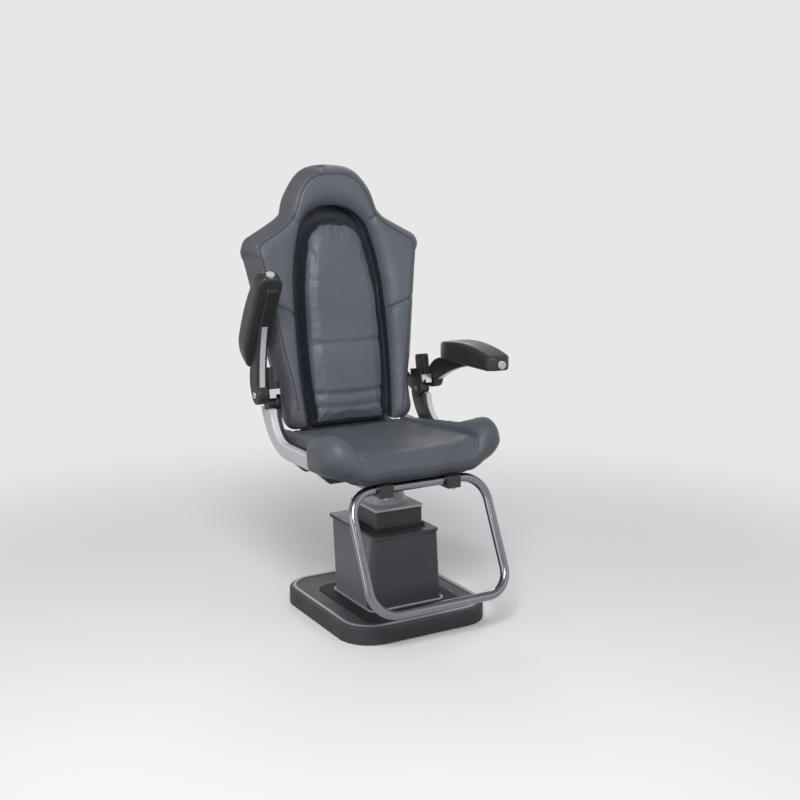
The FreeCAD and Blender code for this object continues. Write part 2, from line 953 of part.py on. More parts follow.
def make_footrest_hoop():
    run = hoop_half_width - hoop_corner
    drop = hoop_length
    pieces = [
        axle(-run, run, 0, 0, hoop_radius),
        axle(-run, run, 0, -drop, hoop_radius),
    ]
    for side in (-1, 1):
        pieces.append(post(side * hoop_half_width, 0, -drop + hoop_corner, -hoop_corner, hoop_radius))
        pieces.append(bend(side * run, -hoop_corner, side * hoop_corner, -side * quarter_turn))
        pieces.append(bend(side * run, -drop + hoop_corner, side * hoop_corner, side * quarter_turn))
    hoop = pieces[0].multiFuse(pieces[1:]).removeSplitter()
    hoop.rotate(Vector(0, 0, 0), Vector(1, 0, 0), -hoop_tilt)
    hoop.translate(Vector(0, hoop_top_y, hoop_top_z))
    return hoop


def clamp_screw_places():
    edge = clamp_half_depth - clamp_screw_edge
    return [(side * rail_x, hoop_top_y + dy) for side in (-1, 1) for dy in (-edge, edge)]


def make_hoop_clamps():
    solids = []
    for side in (-1, 1):
        x0 = side * rail_x - clamp_width / 2
        x1 = x0 + clamp_width
        body = block(x0, x1, clamp_front, clamp_back, clamp_bottom, frame_top)
        body = body.cut(axle(x0 - overrun, x1 + overrun, hoop_top_y, hoop_top_z, hoop_radius + running_gap))
        for x, y in clamp_screw_places():
            body = body.cut(post(x, y, clamp_bottom - overrun, frame_top + overrun, clamp_screw_radius))
        solids.append(body)
    return group(solids)


def make_clamp_screws():
    solids = []
    for x, y in clamp_screw_places():
        head = post(x, y, clamp_bottom - clamp_screw_head, clamp_bottom, clamp_screw_head)
        shank = post(x, y, clamp_bottom, frame_top - seat_gap, clamp_screw_radius)
        solids.append(head.fuse(shank))
    return group(solids)


# Side brackets and recliner hinge

recliner_outer = bracket_inner - body_gap
recliner_inner = recliner_outer - recliner_plate_thickness
bracket_leg_top = hinge_z - bracket_cover_drop
bracket_high = bracket_low + bracket_leg_height
hub_face = cover_outer - hub_clearance
hub_bore_end = hub_face - hub_face_thickness


def bracket_bolt_places():
    span = side_plate_back - side_plate_front - 2 * bracket_bolt_head
    z = side_plate_low + side_plate_height / 2
    start = side_plate_front + bracket_bolt_head
    return [(start + share * span, z) for share in bracket_bolt_shares]


def bracket_profile(x, margin):
    low = bracket_low - margin
    high = bracket_high + margin
    front = Vector(x, bracket_front, low)
    bend_low = Vector(x, bracket_bend_front, low)
    back = Vector(x, bracket_leg_back + margin, bracket_leg_top)
    reach = back.y - bend_low.y
    rise = bracket_leg_top - low
    along, up = bracket_outer_turn_shares
    outer_turn = Vector(x, bend_low.y + along * reach, low + up * rise)
    top_front = Vector(x, bracket_leg_front - margin, bracket_leg_top)
    bend_high = Vector(x, bracket_bend_front, high)
    inner_reach = top_front.y - bend_high.y
    inner_rise = bracket_leg_top - high
    along, up = bracket_inner_turn_shares
    inner_turn = Vector(x, bend_high.y + along * inner_reach, high + up * inner_rise)
    top_low = Vector(x, bracket_front, high)
    return [
        line(front, bend_low),
        arc(bend_low, outer_turn, back),
        line(back, top_front),
        arc(top_front, inner_turn, bend_high),
        line(bend_high, top_low),
        line(top_low, front),
    ]


def make_bracket_plate():
    plate = plate_in_yz(bracket_profile(bracket_inner, bracket_edge_lip), bracket_inner, bracket_outer)
    lug = axle(bracket_inner, bracket_outer, hinge_y, hinge_z, bracket_lug_radius)
    plate = plate.fuse(lug)
    plate = plate.cut(axle(
        bracket_inner - overrun, bracket_outer + overrun, hinge_y, hinge_z, hinge_pin_radius + running_gap
    ))
    for y, z in bracket_bolt_places():
        plate = plate.cut(axle(bracket_inner - overrun, bracket_outer + overrun, y, z, bracket_bolt_radius))
    return plate


def make_bracket_cover():
    cover = plate_in_yz(bracket_profile(bracket_outer, 0), bracket_outer, cover_outer)
    outer_edges = [
        edge for edge in cover.Edges if all(abs(v.X - cover_outer) < slide_gap for v in edge.Vertexes)
    ]
    cover = cover.makeFillet(bracket_cover_thickness / 4, outer_edges)
    cover = cover.cut(axle(
        bracket_outer - overrun, cover_outer + overrun, hinge_y, hinge_z, hub_radius + hub_clearance
    ))
    for y, z in bracket_bolt_places():
        pocket = bracket_outer + bracket_bolt_reach
        cover = cover.cut(axle(bracket_outer - overrun, pocket, y, z, bracket_bolt_head))
    return cover


def make_bracket_bolts():
    solids = []
    for y, z in bracket_bolt_places():
        shank = axle(side_plate_x, bracket_outer, y, z, bracket_bolt_radius)
        head_end = bracket_outer + bracket_bolt_reach - slide_gap
        head = axle(bracket_outer, head_end, y, z, bracket_bolt_head - seat_gap)
        solids += both_sides(shank.fuse(head))
    return group(solids)


def make_recliner_hubs():
    hub = axle(bracket_outer, hub_face, hinge_y, hinge_z, hub_radius)
    bore = axle(bracket_outer - overrun, hub_bore_end, hinge_y, hinge_z, hinge_pin_radius + running_gap)
    hub = hub.cut(bore)
    return group(both_sides(hub))


# Backrest pieces, placed from their leaning frame

def lean(shape):
    shape.rotate(Vector(0, 0, 0), Vector(1, 0, 0), -recline)
    shape.translate(Vector(0, hinge_y, hinge_z))
    return shape


def make_recliner_pins():
    pin = axle(recliner_inner, hub_bore_end - pin_end_gap, 0, 0, hinge_pin_radius)
    return lean(group(both_sides(pin)))


back_tube_y = back_rear + board_thickness + back_tube_radius + seat_gap


def make_recliner_side_plates():
    disc = axle(recliner_inner, recliner_outer, 0, 0, recliner_plate_radius)
    lobe = block(recliner_inner, recliner_outer, block_front, block_back, 0, recliner_plate_rise)
    far_end = axle(recliner_inner, recliner_outer, back_tube_y, back_cross_low, recliner_arm_radius)
    angle = math.atan2(back_cross_low, back_tube_y)
    side = Vector(0, -math.sin(angle), math.cos(angle)).multiply(recliner_arm_radius)
    root = Vector(recliner_inner, 0, 0)
    tip = Vector(recliner_inner, back_tube_y, back_cross_low)
    corners = [root.add(side), tip.add(side), tip.sub(side), root.sub(side)]
    edges = [line(corners[i], corners[(i + 1) % len(corners)]) for i in range(len(corners))]
    web = plate_in_yz(edges, recliner_inner, recliner_outer)
    plate = disc.multiFuse([lobe, far_end, web])
    plate = plate.cut(axle(recliner_inner - overrun, recliner_outer + overrun, 0, 0, hinge_pin_radius))
    return lean(group(both_sides(plate)))


def make_upright_blocks():
    body = block(bracket_outer + body_gap, cover_outer, block_front, block_back, block_low, block_top)
    body = body.cut(axle(bracket_outer, cover_outer + overrun, 0, 0, block_arch_radius))
    foot_z = bracket_lug_radius + block_lug_gap
    inner = block(recliner_outer, bracket_outer + body_gap, block_front, block_back, foot_z, block_top)
    body = body.fuse(inner)
    bolt_start = recliner_outer - overrun
    bolt = axle(bolt_start, cover_outer + overrun, arm_pivot_back, arm_pivot_rise, arm_bolt_radius)
    return lean(group(both_sides(body.cut(bolt).removeSplitter())))


def make_pivot_covers():
    x0 = bracket_outer
    x1 = x0 + pivot_cover_thickness
    body = block(
        x0, x1, block_front + pivot_cover_inset, block_back - pivot_cover_inset,
        block_top, block_top + pivot_cover_height,
    )
    upright = [edge for edge in body.Edges if edge.Length < pivot_cover_thickness + slide_gap
               and abs(edge.Vertexes[0].X - edge.Vertexes[1].X) > slide_gap
               and edge.Vertexes[0].Z > block_top + slide_gap]
    body = body.makeFillet(pivot_cover_thickness / 2, upright)
    return lean(group(both_sides(body)))


def half_outline(shares, half_width, low, height, depth, inset_share):
    scale = 1 - inset_share
    middle = low + height / 2
    return [
        Vector(across * half_width * scale, depth, middle + (low + rise * height - middle) * scale)
        for across, rise in shares
    ]


def closed_outline(points):
    edges = []
    for index in range(0, len(points) - 2, 2):
        edges.append(arc(points[index], points[index + 1], points[index + 2]))
    left = [Vector(-p.x, p.y, p.z) for p in points]
    if points[-1].x > slide_gap:
        peak = Vector(0, points[-1].y, points[-1].z + points[-1].x * crown_share)
        edges.append(arc(points[-1], peak, left[-1]))
    for index in range(len(points) - 1, 1, -2):
        edges.append(arc(left[index], left[index - 1], left[index - 2]))
    edges.append(line(left[0], points[0]))
    return Part.Wire(edges)


def depth_loft(shares, half_width, low, height, front, depth, stations, grow):
    wires = []
    for along, inset in stations:
        points = half_outline(shares, half_width + grow, low, height, front + along * depth, inset)
        wires.append(closed_outline(points))
    return Part.makeLoft(wires, True, False)


back_height = back_top - back_bottom
panel_height = panel_apex - panel_bottom


def below_sweep(radius, floor):
    wide = back_half_width + overrun
    room = block(-wide, wide, back_front - overrun, back_rear + shell_depth * 2, floor, 0)
    return room.cut(axle(-wide - overrun, wide + overrun, 0, 0, radius))


def panel_opening():
    depth = back_rear - back_front + 2 * overrun
    stations = [(along, -inset) for along, inset in opening_depth_shares]
    low = panel_bottom - groove_width
    height = panel_height + groove_width + groove_top_width
    return depth_loft(
        panel_outline_shares, panel_half_width, low, height, back_front - overrun, depth, stations,
        groove_width,
    )


def make_back_surround_cushion():
    body = depth_loft(
        back_outline_shares, back_half_width, back_bottom, back_height, back_front,
        back_rear - back_front, surround_depth_shares, 0,
    )
    body = body.cut(panel_opening())
    body = body.cut(below_sweep(lower_sweep_radius, panel_bottom - groove_width))
    return lean(body)


def make_back_centre_cushion():
    body = depth_loft(
        panel_outline_shares, panel_half_width, panel_bottom, panel_height, panel_front,
        back_rear - panel_front, panel_depth_shares, 0,
    )
    for share in panel_channel_shares:
        z = panel_bottom + share * panel_height
        wide = panel_half_width + overrun
        body = body.cut(axle(-wide, wide, panel_front, z, panel_channel_radius))
    body = body.cut(below_sweep(lower_sweep_radius, panel_bottom - groove_width))
    return lean(body)


def make_back_board():
    scale = board_inset / back_half_width
    points = half_outline(
        back_outline_shares, back_half_width, back_bottom, back_height, back_rear + seat_gap, scale
    )
    board = Part.Face(closed_outline(points)).extrude(Vector(0, board_thickness, 0))
    board = board.cut(below_sweep(lower_sweep_radius, panel_bottom - groove_width))
    return lean(board)


def shell_solid(trim):
    stations = [(along, inset + trim / back_half_width) for along, inset in shell_depth_shares]
    return depth_loft(
        back_outline_shares, back_half_width, back_bottom, back_height, back_rear + seat_gap,
        shell_depth, stations, 0,
    )


def make_back_shell():
    inside = shell_solid(shell_wall)
    inside.translate(Vector(0, -shell_wall, 0))
    shell = shell_solid(0).cut(inside)
    wide = back_half_width + overrun
    low = Vector(-wide, back_rear - overrun, -lower_sweep_radius * shell_cut_share)
    high = Vector(-wide, back_rear + shell_depth + overrun, 0)
    corners = [
        low, high, Vector(-wide, high.y, panel_bottom * 2), Vector(-wide, low.y, panel_bottom * 2)
    ]
    edges = [line(corners[i], corners[(i + 1) % len(corners)]) for i in range(len(corners))]
    shell = shell.cut(plate_in_yz(edges, -wide, wide))
    passage = axle(-wide, wide, back_tube_y, back_cross_low, back_tube_radius + hub_clearance)
    return lean(shell.cut(passage))


def make_back_frame():
    def run(radius):
        cross_end = recliner_inner
        reach = back_tube_x
        pieces = [
            axle(-cross_end, cross_end, back_tube_y, back_cross_low, radius),
            axle(-reach, reach, back_tube_y, back_cross_high, radius),
        ]
        for side in (-1, 1):
            pieces.append(post(side * reach, back_tube_y, back_cross_low, back_tube_top, radius))
        return pieces[0].multiFuse(pieces[1:])
    frame = run(back_tube_radius).cut(run(back_tube_radius - back_tube_wall))
    return lean(frame)


# Armrests

lean_angle = math.radians(recline)
arm_y = hinge_y + arm_pivot_back * math.cos(lean_angle) + arm_pivot_rise * math.sin(lean_angle)
arm_z = hinge_z - arm_pivot_back * math.sin(lean_angle) + arm_pivot_rise * math.cos(lean_angle)
arm_tip_y = arm_y - arm_reach
arm_rear_y = arm_tip_y + arm_pad_length
pad_top_z = arm_z + arm_pad_top
pad_bottom_z = pad_top_z - arm_pad_thickness
neck_plate_low = pad_bottom_z - neck_plate_thickness
button_x = arm_inner_x + arm_width / 2
button_z = pad_bottom_z + button_rise


def make_arm_bolts():
    shank = axle(recliner_outer, neck_outer_x, arm_y, arm_z, arm_bolt_radius)
    head = axle(
        neck_outer_x + slide_gap, neck_outer_x + arm_bolt_head_height, arm_y, arm_z, arm_bolt_head_radius
    )
    link = axle(neck_outer_x - overrun, neck_outer_x + overrun, arm_y, arm_z, arm_bolt_radius)
    return group(both_sides(shank.multiFuse([head, link]).removeSplitter()))


def neck_underside(x):
    start = Vector(x, arm_y - neck_root_radius, arm_z)
    under = Vector(x, arm_rear_y - neck_under_share * arm_pad_length, neck_plate_low)
    along, down = neck_under_turn_shares
    turn = Vector(
        x, under.y + along * (start.y - under.y), under.z - down * (under.z - start.z)
    )
    return start, turn, under


def around_pivot(x, share_y, share_z):
    return Vector(x, arm_y + share_y * neck_root_radius, arm_z + share_z * neck_root_radius)


def neck_edges(x):
    start, under_turn, under = neck_underside(x)
    front = arm_tip_y + neck_front_inset
    rear = arm_rear_y - neck_rear_inset
    front_low = Vector(x, front + neck_plate_thickness, neck_plate_low)
    front_high = Vector(x, front, pad_bottom_z)
    rear_high = Vector(x, rear, pad_bottom_z)
    end = around_pivot(x, *neck_end_shares)
    along, down = neck_back_turn_shares
    back_turn = Vector(x, rear + along * (end.y - rear), pad_bottom_z - down * (pad_bottom_z - end.z))
    foot = around_pivot(x, 0, -1)
    heel = around_pivot(x, 1, 0)
    root_low = around_pivot(x, -math.sqrt(0.5), -math.sqrt(0.5))
    root_back = around_pivot(x, math.sqrt(0.5), -math.sqrt(0.5))
    heel_high = around_pivot(x, *neck_heel_shares)
    return [
        line(front_low, front_high),
        line(front_high, rear_high),
        arc(rear_high, back_turn, end),
        arc(end, heel_high, heel),
        arc(heel, root_back, foot),
        arc(foot, root_low, start),
        arc(start, under_turn, under),
        line(under, front_low),
    ]


def make_arm_neck():
    neck = plate_in_yz(neck_edges(neck_inner_x), neck_inner_x, neck_outer_x)
    hole = axle(
        neck_inner_x - overrun, neck_outer_x + overrun, arm_y, arm_z, arm_bolt_radius + running_gap
    )
    return neck.cut(hole)


def make_arm_strip():
    x0 = (neck_inner_x + neck_outer_x - strip_width) / 2
    first, middle, last = neck_underside(x0)
    chord = last.sub(first).normalize()
    shift = Vector(0, -chord.z, chord.y).multiply(strip_thickness)
    face = Part.Face(Part.Wire([
        arc(first, middle, last),
        line(last, last.add(shift)),
        arc(last.add(shift), middle.add(shift), first.add(shift)),
        line(first.add(shift), first),
    ]))
    return face.extrude(Vector(strip_width, 0, 0))


def pad_side_edges(x):
    tip_low = Vector(x, arm_tip_y, pad_bottom_z)
    tip_high = Vector(x, arm_tip_y, pad_top_z - arm_pad_tip_drop)
    crown = Vector(x, (arm_tip_y + arm_rear_y) / 2, pad_top_z)
    rear_high = Vector(x, arm_rear_y, pad_top_z - arm_pad_rear_drop)
    rear_low = Vector(x, arm_rear_y, pad_bottom_z)
    return [
        line(rear_low, tip_low),
        line(tip_low, tip_high),
        arc(tip_high, crown, rear_high),
        line(rear_high, rear_low),
    ]


def pad_plan(side):
    half = side * arm_width / 2
    return [
        Vector(button_x + across * half, arm_tip_y + along * arm_pad_length, pad_bottom_z)
        for across, along in arm_plan_shares
    ]


def pad_plan_solid():
    outer = pad_plan(1)
    inner = pad_plan(-1)
    edges = [line(inner[0], outer[0]), line(outer[-1], inner[-1])]
    for points in (outer, inner):
        edges.append(arc(*points[:3]))
        edges.append(line(points[2], points[3]))
        edges.append(arc(*points[3:]))
    face = Part.Face(Part.Wire(Part.__sortEdges__(edges)))
    solid = face.extrude(Vector(0, 0, arm_pad_thickness + 2 * overrun))
    solid.translate(Vector(0, 0, -overrun))
    return solid


def make_arm_pad():
    pad = plate_in_yz(pad_side_edges(arm_inner_x), arm_inner_x, arm_outer_x)
    brow = [edge for edge in pad.Edges if min(v.Z for v in edge.Vertexes) > pad_bottom_z + slide_gap]
    pad = pad.makeFillet(arm_edge_round, brow)
    pad = pad.makeFillet(arm_pad_round, edges_at(pad, pad_bottom_z))
    pad = pad.common(pad_plan_solid())
    return pad.cut(button_solid(0, running_gap, button_depth))


def button_solid(stand, gap, depth):
    start = Vector(button_x, arm_tip_y - stand, button_z)
    if stand == 0:
        start.y -= overrun
    return Part.makeCylinder(button_radius + gap, arm_tip_y + depth - start.y, start, Vector(0, 1, 0))


def make_arm_button():
    cap = button_solid(button_stand, 0, button_depth - button_travel - slide_gap)
    rim = [
        edge for edge in cap.Edges
        if all(abs(v.Y - arm_tip_y + button_stand) < slide_gap for v in edge.Vertexes)
    ]
    return cap.makeFillet(button_dome, rim)


def folded(shape):
    shape.rotate(Vector(0, arm_y, arm_z), Vector(1, 0, 0), -arm_fold)
    return shape


save("base_plate", make_base_plate())
save("levelling_feet", make_levelling_feet())
save("base_cover", make_base_cover())
save("base_edge_trim", make_base_edge_trim())
save("base_mat", make_base_mat())
save("column_foot_trim", make_column_foot_trim())
save("cover_screws", make_cover_screws())
save("lower_front_cover", make_lower_front_cover())
save("lower_rear_cover", make_lower_rear_cover())
save("housing_lid", make_housing_lid())
save("wiper_gasket", make_wiper_gasket())
save("outer_guide_tube", make_outer_guide_tube())
save("outer_guide_pads", make_outer_guide_pads())
save("actuator_gearbox", make_actuator_gearbox())
save("actuator_motor", make_actuator_motor())
save("actuator_tube", make_actuator_tube())
save("control_box", make_control_box())
save("mains_inlet", make_mains_inlet())

save("upper_box_cover", make_upper_box_cover())
save("upper_cap", make_upper_cap())
save("inner_guide_tube", make_inner_guide_tube())
save("inner_guide_pads", make_inner_guide_pads())
save("actuator_rod", make_actuator_rod())
save("lift_head_plate", make_lift_head_plate())
save("swivel_housing", make_swivel_housing())
save("swivel_bearings", make_swivel_bearings())

save("swivel_spindle", make_swivel_spindle())
save("seat_mount_plate", make_seat_mount_plate())
save("seat_frame", make_seat_frame())
save("seat_side_plates", make_seat_side_plates())
save("seat_pan", make_seat_pan())
save("seat_cushion", make_seat_cushion())
save("footrest_hoop", make_footrest_hoop())
save("hoop_clamps", make_hoop_clamps())
save("clamp_screws", make_clamp_screws())
save("left_bracket_plate", make_bracket_plate())
save("right_bracket_plate", mirrored(make_bracket_plate()))
save("left_bracket_cover", make_bracket_cover())
save("right_bracket_cover", mirrored(make_bracket_cover()))
save("bracket_bolts", make_bracket_bolts())
save("recliner_hubs", make_recliner_hubs())

save("back_frame", make_back_frame())
save("recliner_side_plates", make_recliner_side_plates())
save("recliner_pins", make_recliner_pins())
save("upright_blocks", make_upright_blocks())
save("pivot_covers", make_pivot_covers())
save("arm_bolts", make_arm_bolts())
save("back_board", make_back_board())
save("back_shell", make_back_shell())
save("back_surround_cushion", make_back_surround_cushion())
save("back_centre_cushion", make_back_centre_cushion())

save("left_arm_neck", make_arm_neck())
save("left_arm_strip", make_arm_strip())
save("left_arm_pad", make_arm_pad())
save("left_arm_button", make_arm_button())
save("right_arm_neck", mirrored(folded(make_arm_neck())))
save("right_arm_strip", mirrored(folded(make_arm_strip())))
save("right_arm_pad", mirrored(folded(make_arm_pad())))
save("right_arm_button", mirrored(folded(make_arm_button())))
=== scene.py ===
import json
import math

import bmesh
import bpy
import numpy as np
from mathutils import Matrix, Vector, noise
from mathutils.bvhtree import BVHTree


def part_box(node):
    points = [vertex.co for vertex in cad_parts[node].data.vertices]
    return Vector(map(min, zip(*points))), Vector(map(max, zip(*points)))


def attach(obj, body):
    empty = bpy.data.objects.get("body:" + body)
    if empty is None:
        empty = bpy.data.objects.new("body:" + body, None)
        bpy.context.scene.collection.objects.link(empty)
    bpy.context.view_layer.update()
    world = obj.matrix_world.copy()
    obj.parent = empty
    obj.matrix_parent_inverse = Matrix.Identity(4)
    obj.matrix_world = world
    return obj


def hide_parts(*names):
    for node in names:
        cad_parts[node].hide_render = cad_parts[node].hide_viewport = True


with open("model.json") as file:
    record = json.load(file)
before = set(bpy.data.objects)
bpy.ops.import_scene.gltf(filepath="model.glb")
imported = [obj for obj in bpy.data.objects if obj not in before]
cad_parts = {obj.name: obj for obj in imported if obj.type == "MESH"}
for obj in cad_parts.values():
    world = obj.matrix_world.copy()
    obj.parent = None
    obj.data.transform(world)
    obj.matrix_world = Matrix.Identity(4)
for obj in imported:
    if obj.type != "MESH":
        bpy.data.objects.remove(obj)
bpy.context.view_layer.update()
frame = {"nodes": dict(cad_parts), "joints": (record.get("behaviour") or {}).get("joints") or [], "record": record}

# Ophthalmic examination chair, in metres. The sitter faces -Y and +X is the sitter's left.

# Camera, at the photograph's angle: degrees, and the lens in millimetres
camera_place = Vector((-1.6056, -2.8709, 1.2434))
camera_turn = 29.96
camera_tilt = 10.94
camera_lens = 54.31

# Light
ambient_strength = 0.34
ambient_color = (0.97, 0.985, 1.0, 1)
background_level = 0.80
zenith_level = 0.42
horizon_end = 0.12
zenith_start = 0.85
key_power = 88.0
key_place = Vector((-1.3, -2.3, 2.7))
key_size = 1.4
fill_power = 7.0
fill_place = Vector((2.6, -3.0, 1.6))
fill_size = 2.4
side_power = 11.0
side_place = Vector((-3.0, -0.5, 1.1))
side_size = 1.6
rim_power = 30.0
rim_place = Vector((1.4, 3.0, 2.6))
rim_size = 1.6
aim_point = Vector((0.0, 0.0, 0.6))
floor_radius = 14.0
floor_fade_start = 0.7
floor_fade_end = 2.6
floor_bounce = 0.22
floor_color = (0.84, 0.84, 0.85, 1)
floor_drop = 0.0004

# The backrest's own frame, in which it stands upright above the recline hinge
joints = {joint["name"]: joint for joint in frame["joints"]}
hinge = Vector(joints["backrest_recline"]["pos_m"])
lean_angle = math.radians(10)
lean = Matrix.Translation(hinge) @ Matrix.Rotation(-lean_angle, 4, "X")
lean_back = lean.inverted()

# Upholstery: cell size, simulation, and what the three cushions share
voxel = 0.0055
sim_frames = 20
sim_pressure = 4.0
swell_limit = 0.007
pinned_depth = 0.040
stitch_offset = 0.0065
seam_width = 0.006

# Seat cushion. A pair is where an effect starts and where it is full.
seat_pinned_height = 0.004
seat_pan_gap = 0.0004
front_droop = 0.008
droop_ahead = (0.026, 0.012)
droop_down = (0.040, 0.004)
widest_height = 0.478
side_tuck = 0.004
corner_tuck = 0.014
corner_reach = (0.19, 0.26)
tuck_ahead = (0.08, -0.02)
dimple_place = np.array([0.268, -0.196, 0.464])
dimple_size = np.array([0.030, 0.030, 0.020])
dimple_pull = np.array([0.55, 0.75, 0.10])
dimple_depth = 0.010
seat_seam_middle = (0.184, -0.08)
seat_seam_end = 0.178
seat_seam_margins = (0.030, 0.012)
seat_stitch_margins = (0.03, 0.02)

# Surround: seams and outline in the plane of the backrest, depths from front to back
wing_seam = ((0.150, 0.243), (0.200, 0.262), (0.262, 0.283))
neck_seam = ((0.118, 0.512), (0.138, 0.530), (0.165, 0.552))
wing_stitch_line = ((0.156, 0.244), (0.200, 0.262), (0.250, 0.280))
surround_middle = np.array([0.0, 0.22])
outline_middle = np.array([0.0, 0.30])
outline_depth = 0.022
outline_foot = -0.075
arch_centre = 0.33
arch_width = 0.165
arch_height = 0.265
boxing_depth = 0.006
# Faces of the groove deeper than groove_depth get painted shade
groove_depth = 0.010
band_width = 0.032
band_depth = 0.020
band_reach = (0.034, -0.018)
band_foot = (-0.04, 0.05)
rim_sag = 0.012
rim_width = 0.050
rim_heights = (0.44, 0.57)
rim_reach = (0.036, 0.008)
outline_step = 0.006
front_piping_radius = 0.0020
rear_piping_radius = 0.0030
rear_piping_depth = 0.044

# Lining at the lower end of the groove: a dark sheet that closes the gap there, its colour painted shade
lining_half = 0.151
lining_radius = 0.0925
lining_thickness = 0.0022
lining_start = -5
lining_sweep = 34
lining_top = -0.040
lining_gap = 0.0006
lining_arc_steps = 14
lining_rise_steps = 6
lining_columns = 13

# Centre panel, with its creases as height, depth and width
panel_bulge = 0.014
panel_inset = 0.009
panel_middle = 0.21
panel_half = 0.31
panel_front = (0.034, 0.004)
# Faces of the panel deeper than panel_edge get painted shade
panel_edge = 0.006
top_widening = 0.004
top_heights = (0.34, 0.48)
foot_height = -0.04
foot_extension = 0.005
foot_radii = (0.070, 0.086)
crease_half = 0.120
crease_bow = 0.004
creases = (
    (0.345, 0.0022, 0.016), (0.150, 0.0030, 0.014),
    (0.008, 0.0045, 0.009), (-0.030, 0.0035, 0.010),
)

# Hard pieces
dissolve_angle = math.radians(0.6)
bevel_angle = math.radians(35.0)
sharp_angle = math.radians(32.0)
hoop_radius = 0.0125
hoop_corner = 0.070
hoop_tilt = math.radians(26)
pocket_radius = 0.0127
pocket_depth = 0.0155
pocket_mouth = -0.03


def srgb(r, g, b):
    """A colour written as 0 to 255 screen values."""
    def linear(value):
        value /= 255
        return value / 12.92 if value <= 0.04045 else ((value + 0.055) / 1.055) ** 2.4
    return (linear(r), linear(g), linear(b), 1.0)


# Materials


class Nodes:
    """Short names for building one material's node tree."""

    def __init__(self, name):
        self.material = bpy.data.materials.new(name)
        self.material.use_nodes = True
        self.tree = self.material.node_tree
        self.tree.nodes.clear()
        self.output = self.add("ShaderNodeOutputMaterial")
        self.shader = self.add("ShaderNodeBsdfPrincipled")
        self.join(self.shader, "BSDF", self.output, "Surface")
        self.place = self.add("ShaderNodeTexCoord")

    def add(self, kind, **values):
        node = self.tree.nodes.new(kind)
        for key, value in values.items():
            if hasattr(node, key):
                setattr(node, key, value)
            else:
                node.inputs[key.replace("_", " ").title()].default_value = value
        return node

    def join(self, a, out, b, into):
        self.tree.links.new(a.outputs[out], b.inputs[into])

    def noise(self, scale, detail=4.0, rough=0.55, squeeze=None):
        node = self.add("ShaderNodeTexNoise", scale=scale, detail=detail)
        node.inputs["Roughness"].default_value = rough
        self.coordinates(node, squeeze)
        return node

    def coordinates(self, node, squeeze=None):
        if squeeze is None:
            self.join(self.place, "Object", node, "Vector")
            return
        mapping = self.add("ShaderNodeMapping")
        mapping.inputs["Scale"].default_value = squeeze
        self.join(self.place, "Object", mapping, "Vector")
        self.join(mapping, "Vector", node, "Vector")

    def ramp(self, source, out, stops):
        node = self.add("ShaderNodeValToRGB")
        for element, (position, color) in zip(node.color_ramp.elements, stops):
            element.position = position
            element.color = color
        self.join(source, out, node, "Fac")
        return node

    def range(self, source, out, low, high, start=0.3, end=0.7):
        node = self.add("ShaderNodeMapRange")
        node.inputs["From Min"].default_value = start
        node.inputs["From Max"].default_value = end
        node.inputs["To Min"].default_value = low
        node.inputs["To Max"].default_value = high
        self.join(source, out, node, "Value")
        return node

    def bump(self, source, out, strength, distance, before=None):
        node = self.add("ShaderNodeBump")
        node.inputs["Strength"].default_value = strength
        node.inputs["Distance"].default_value = distance
        self.join(source, out, node, "Height")
        if before is not None:
            self.join(before, "Normal", node, "Normal")
        return node

    def tint(self, source, color, spread, low=0.3, high=0.7):
        """A base colour that drifts between a darker and a lighter tone."""
        dark, light = tones(color, spread)
        node = self.ramp(source, "Fac", [(low, dark), (high, light)])
        self.join(node, "Color", self.shader, "Base Color")

    def gloss(self, source, low, high):
        node = self.range(source, "Fac", low, high)
        self.join(node, "Result", self.shader, "Roughness")

    def end(self, bump, **values):
        for key, value in values.items():
            self.shader.inputs[key.replace("_", " ")].default_value = value
        self.join(bump, "Normal", self.shader, "Normal")
        return self.material


def tones(color, spread):
    """A darker and a lighter tone of one colour."""
    dark = tuple(c * (1 - spread) for c in color[:3]) + (1.0,)
    light = tuple(min(1.0, c * (1 + spread)) for c in color[:3]) + (1.0,)
    return dark, light


def leather(name, color, grain=1500.0, depth=0.00025):
    n = Nodes(name)
    dark, light = tones(color, 0.10)
    patches = n.noise(7.0, detail=5.0)
    tint = n.ramp(patches, "Fac", [(0.32, dark), (0.70, light)])
    cells = n.add("ShaderNodeTexVoronoi", feature="F1", scale=grain)
    n.coordinates(cells)
    pores = n.range(cells, "Distance", 0.86, 1.06, 0.05, 0.6)
    mix = n.add("ShaderNodeMix", data_type="RGBA", blend_type="MULTIPLY")
    mix.inputs[0].default_value = 0.55
    n.join(tint, "Color", mix, 6)
    n.join(pores, "Result", mix, 7)
    n.join(mix, 2, n.shader, "Base Color")
    n.gloss(n.noise(26.0, detail=6.0), 0.40, 0.56)
    creases = n.noise(90.0, detail=3.0, squeeze=(1.0, 1.0, 0.45))
    soft = n.bump(creases, "Fac", 0.10, 0.004)
    fine = n.bump(cells, "Distance", 0.35, depth, before=soft)
    return n.end(fine, Specular_IOR_Level=0.42, Sheen_Weight=0.06)


def plastic(name, color, rough, grain=1100.0, depth=0.0002, specular=0.45):
    n = Nodes(name)
    n.tint(n.noise(5.0, detail=3.0), color, 0.06)
    n.gloss(n.noise(14.0, detail=5.0), rough - 0.06, rough + 0.07)
    texture = n.noise(grain, detail=2.0)
    fine = n.bump(texture, "Fac", 0.22, depth)
    return n.end(fine, Specular_IOR_Level=specular)


def paint(name, color, rough=0.32):
    n = Nodes(name)
    n.tint(n.noise(4.0, detail=3.0), color, 0.03)
    n.gloss(n.noise(11.0, detail=5.0), rough - 0.05, rough + 0.08)
    peel = n.noise(420.0, detail=1.0)
    fine = n.bump(peel, "Fac", 0.10, 0.00018)
    return n.end(fine, Specular_IOR_Level=0.5, Coat_Weight=0.15)


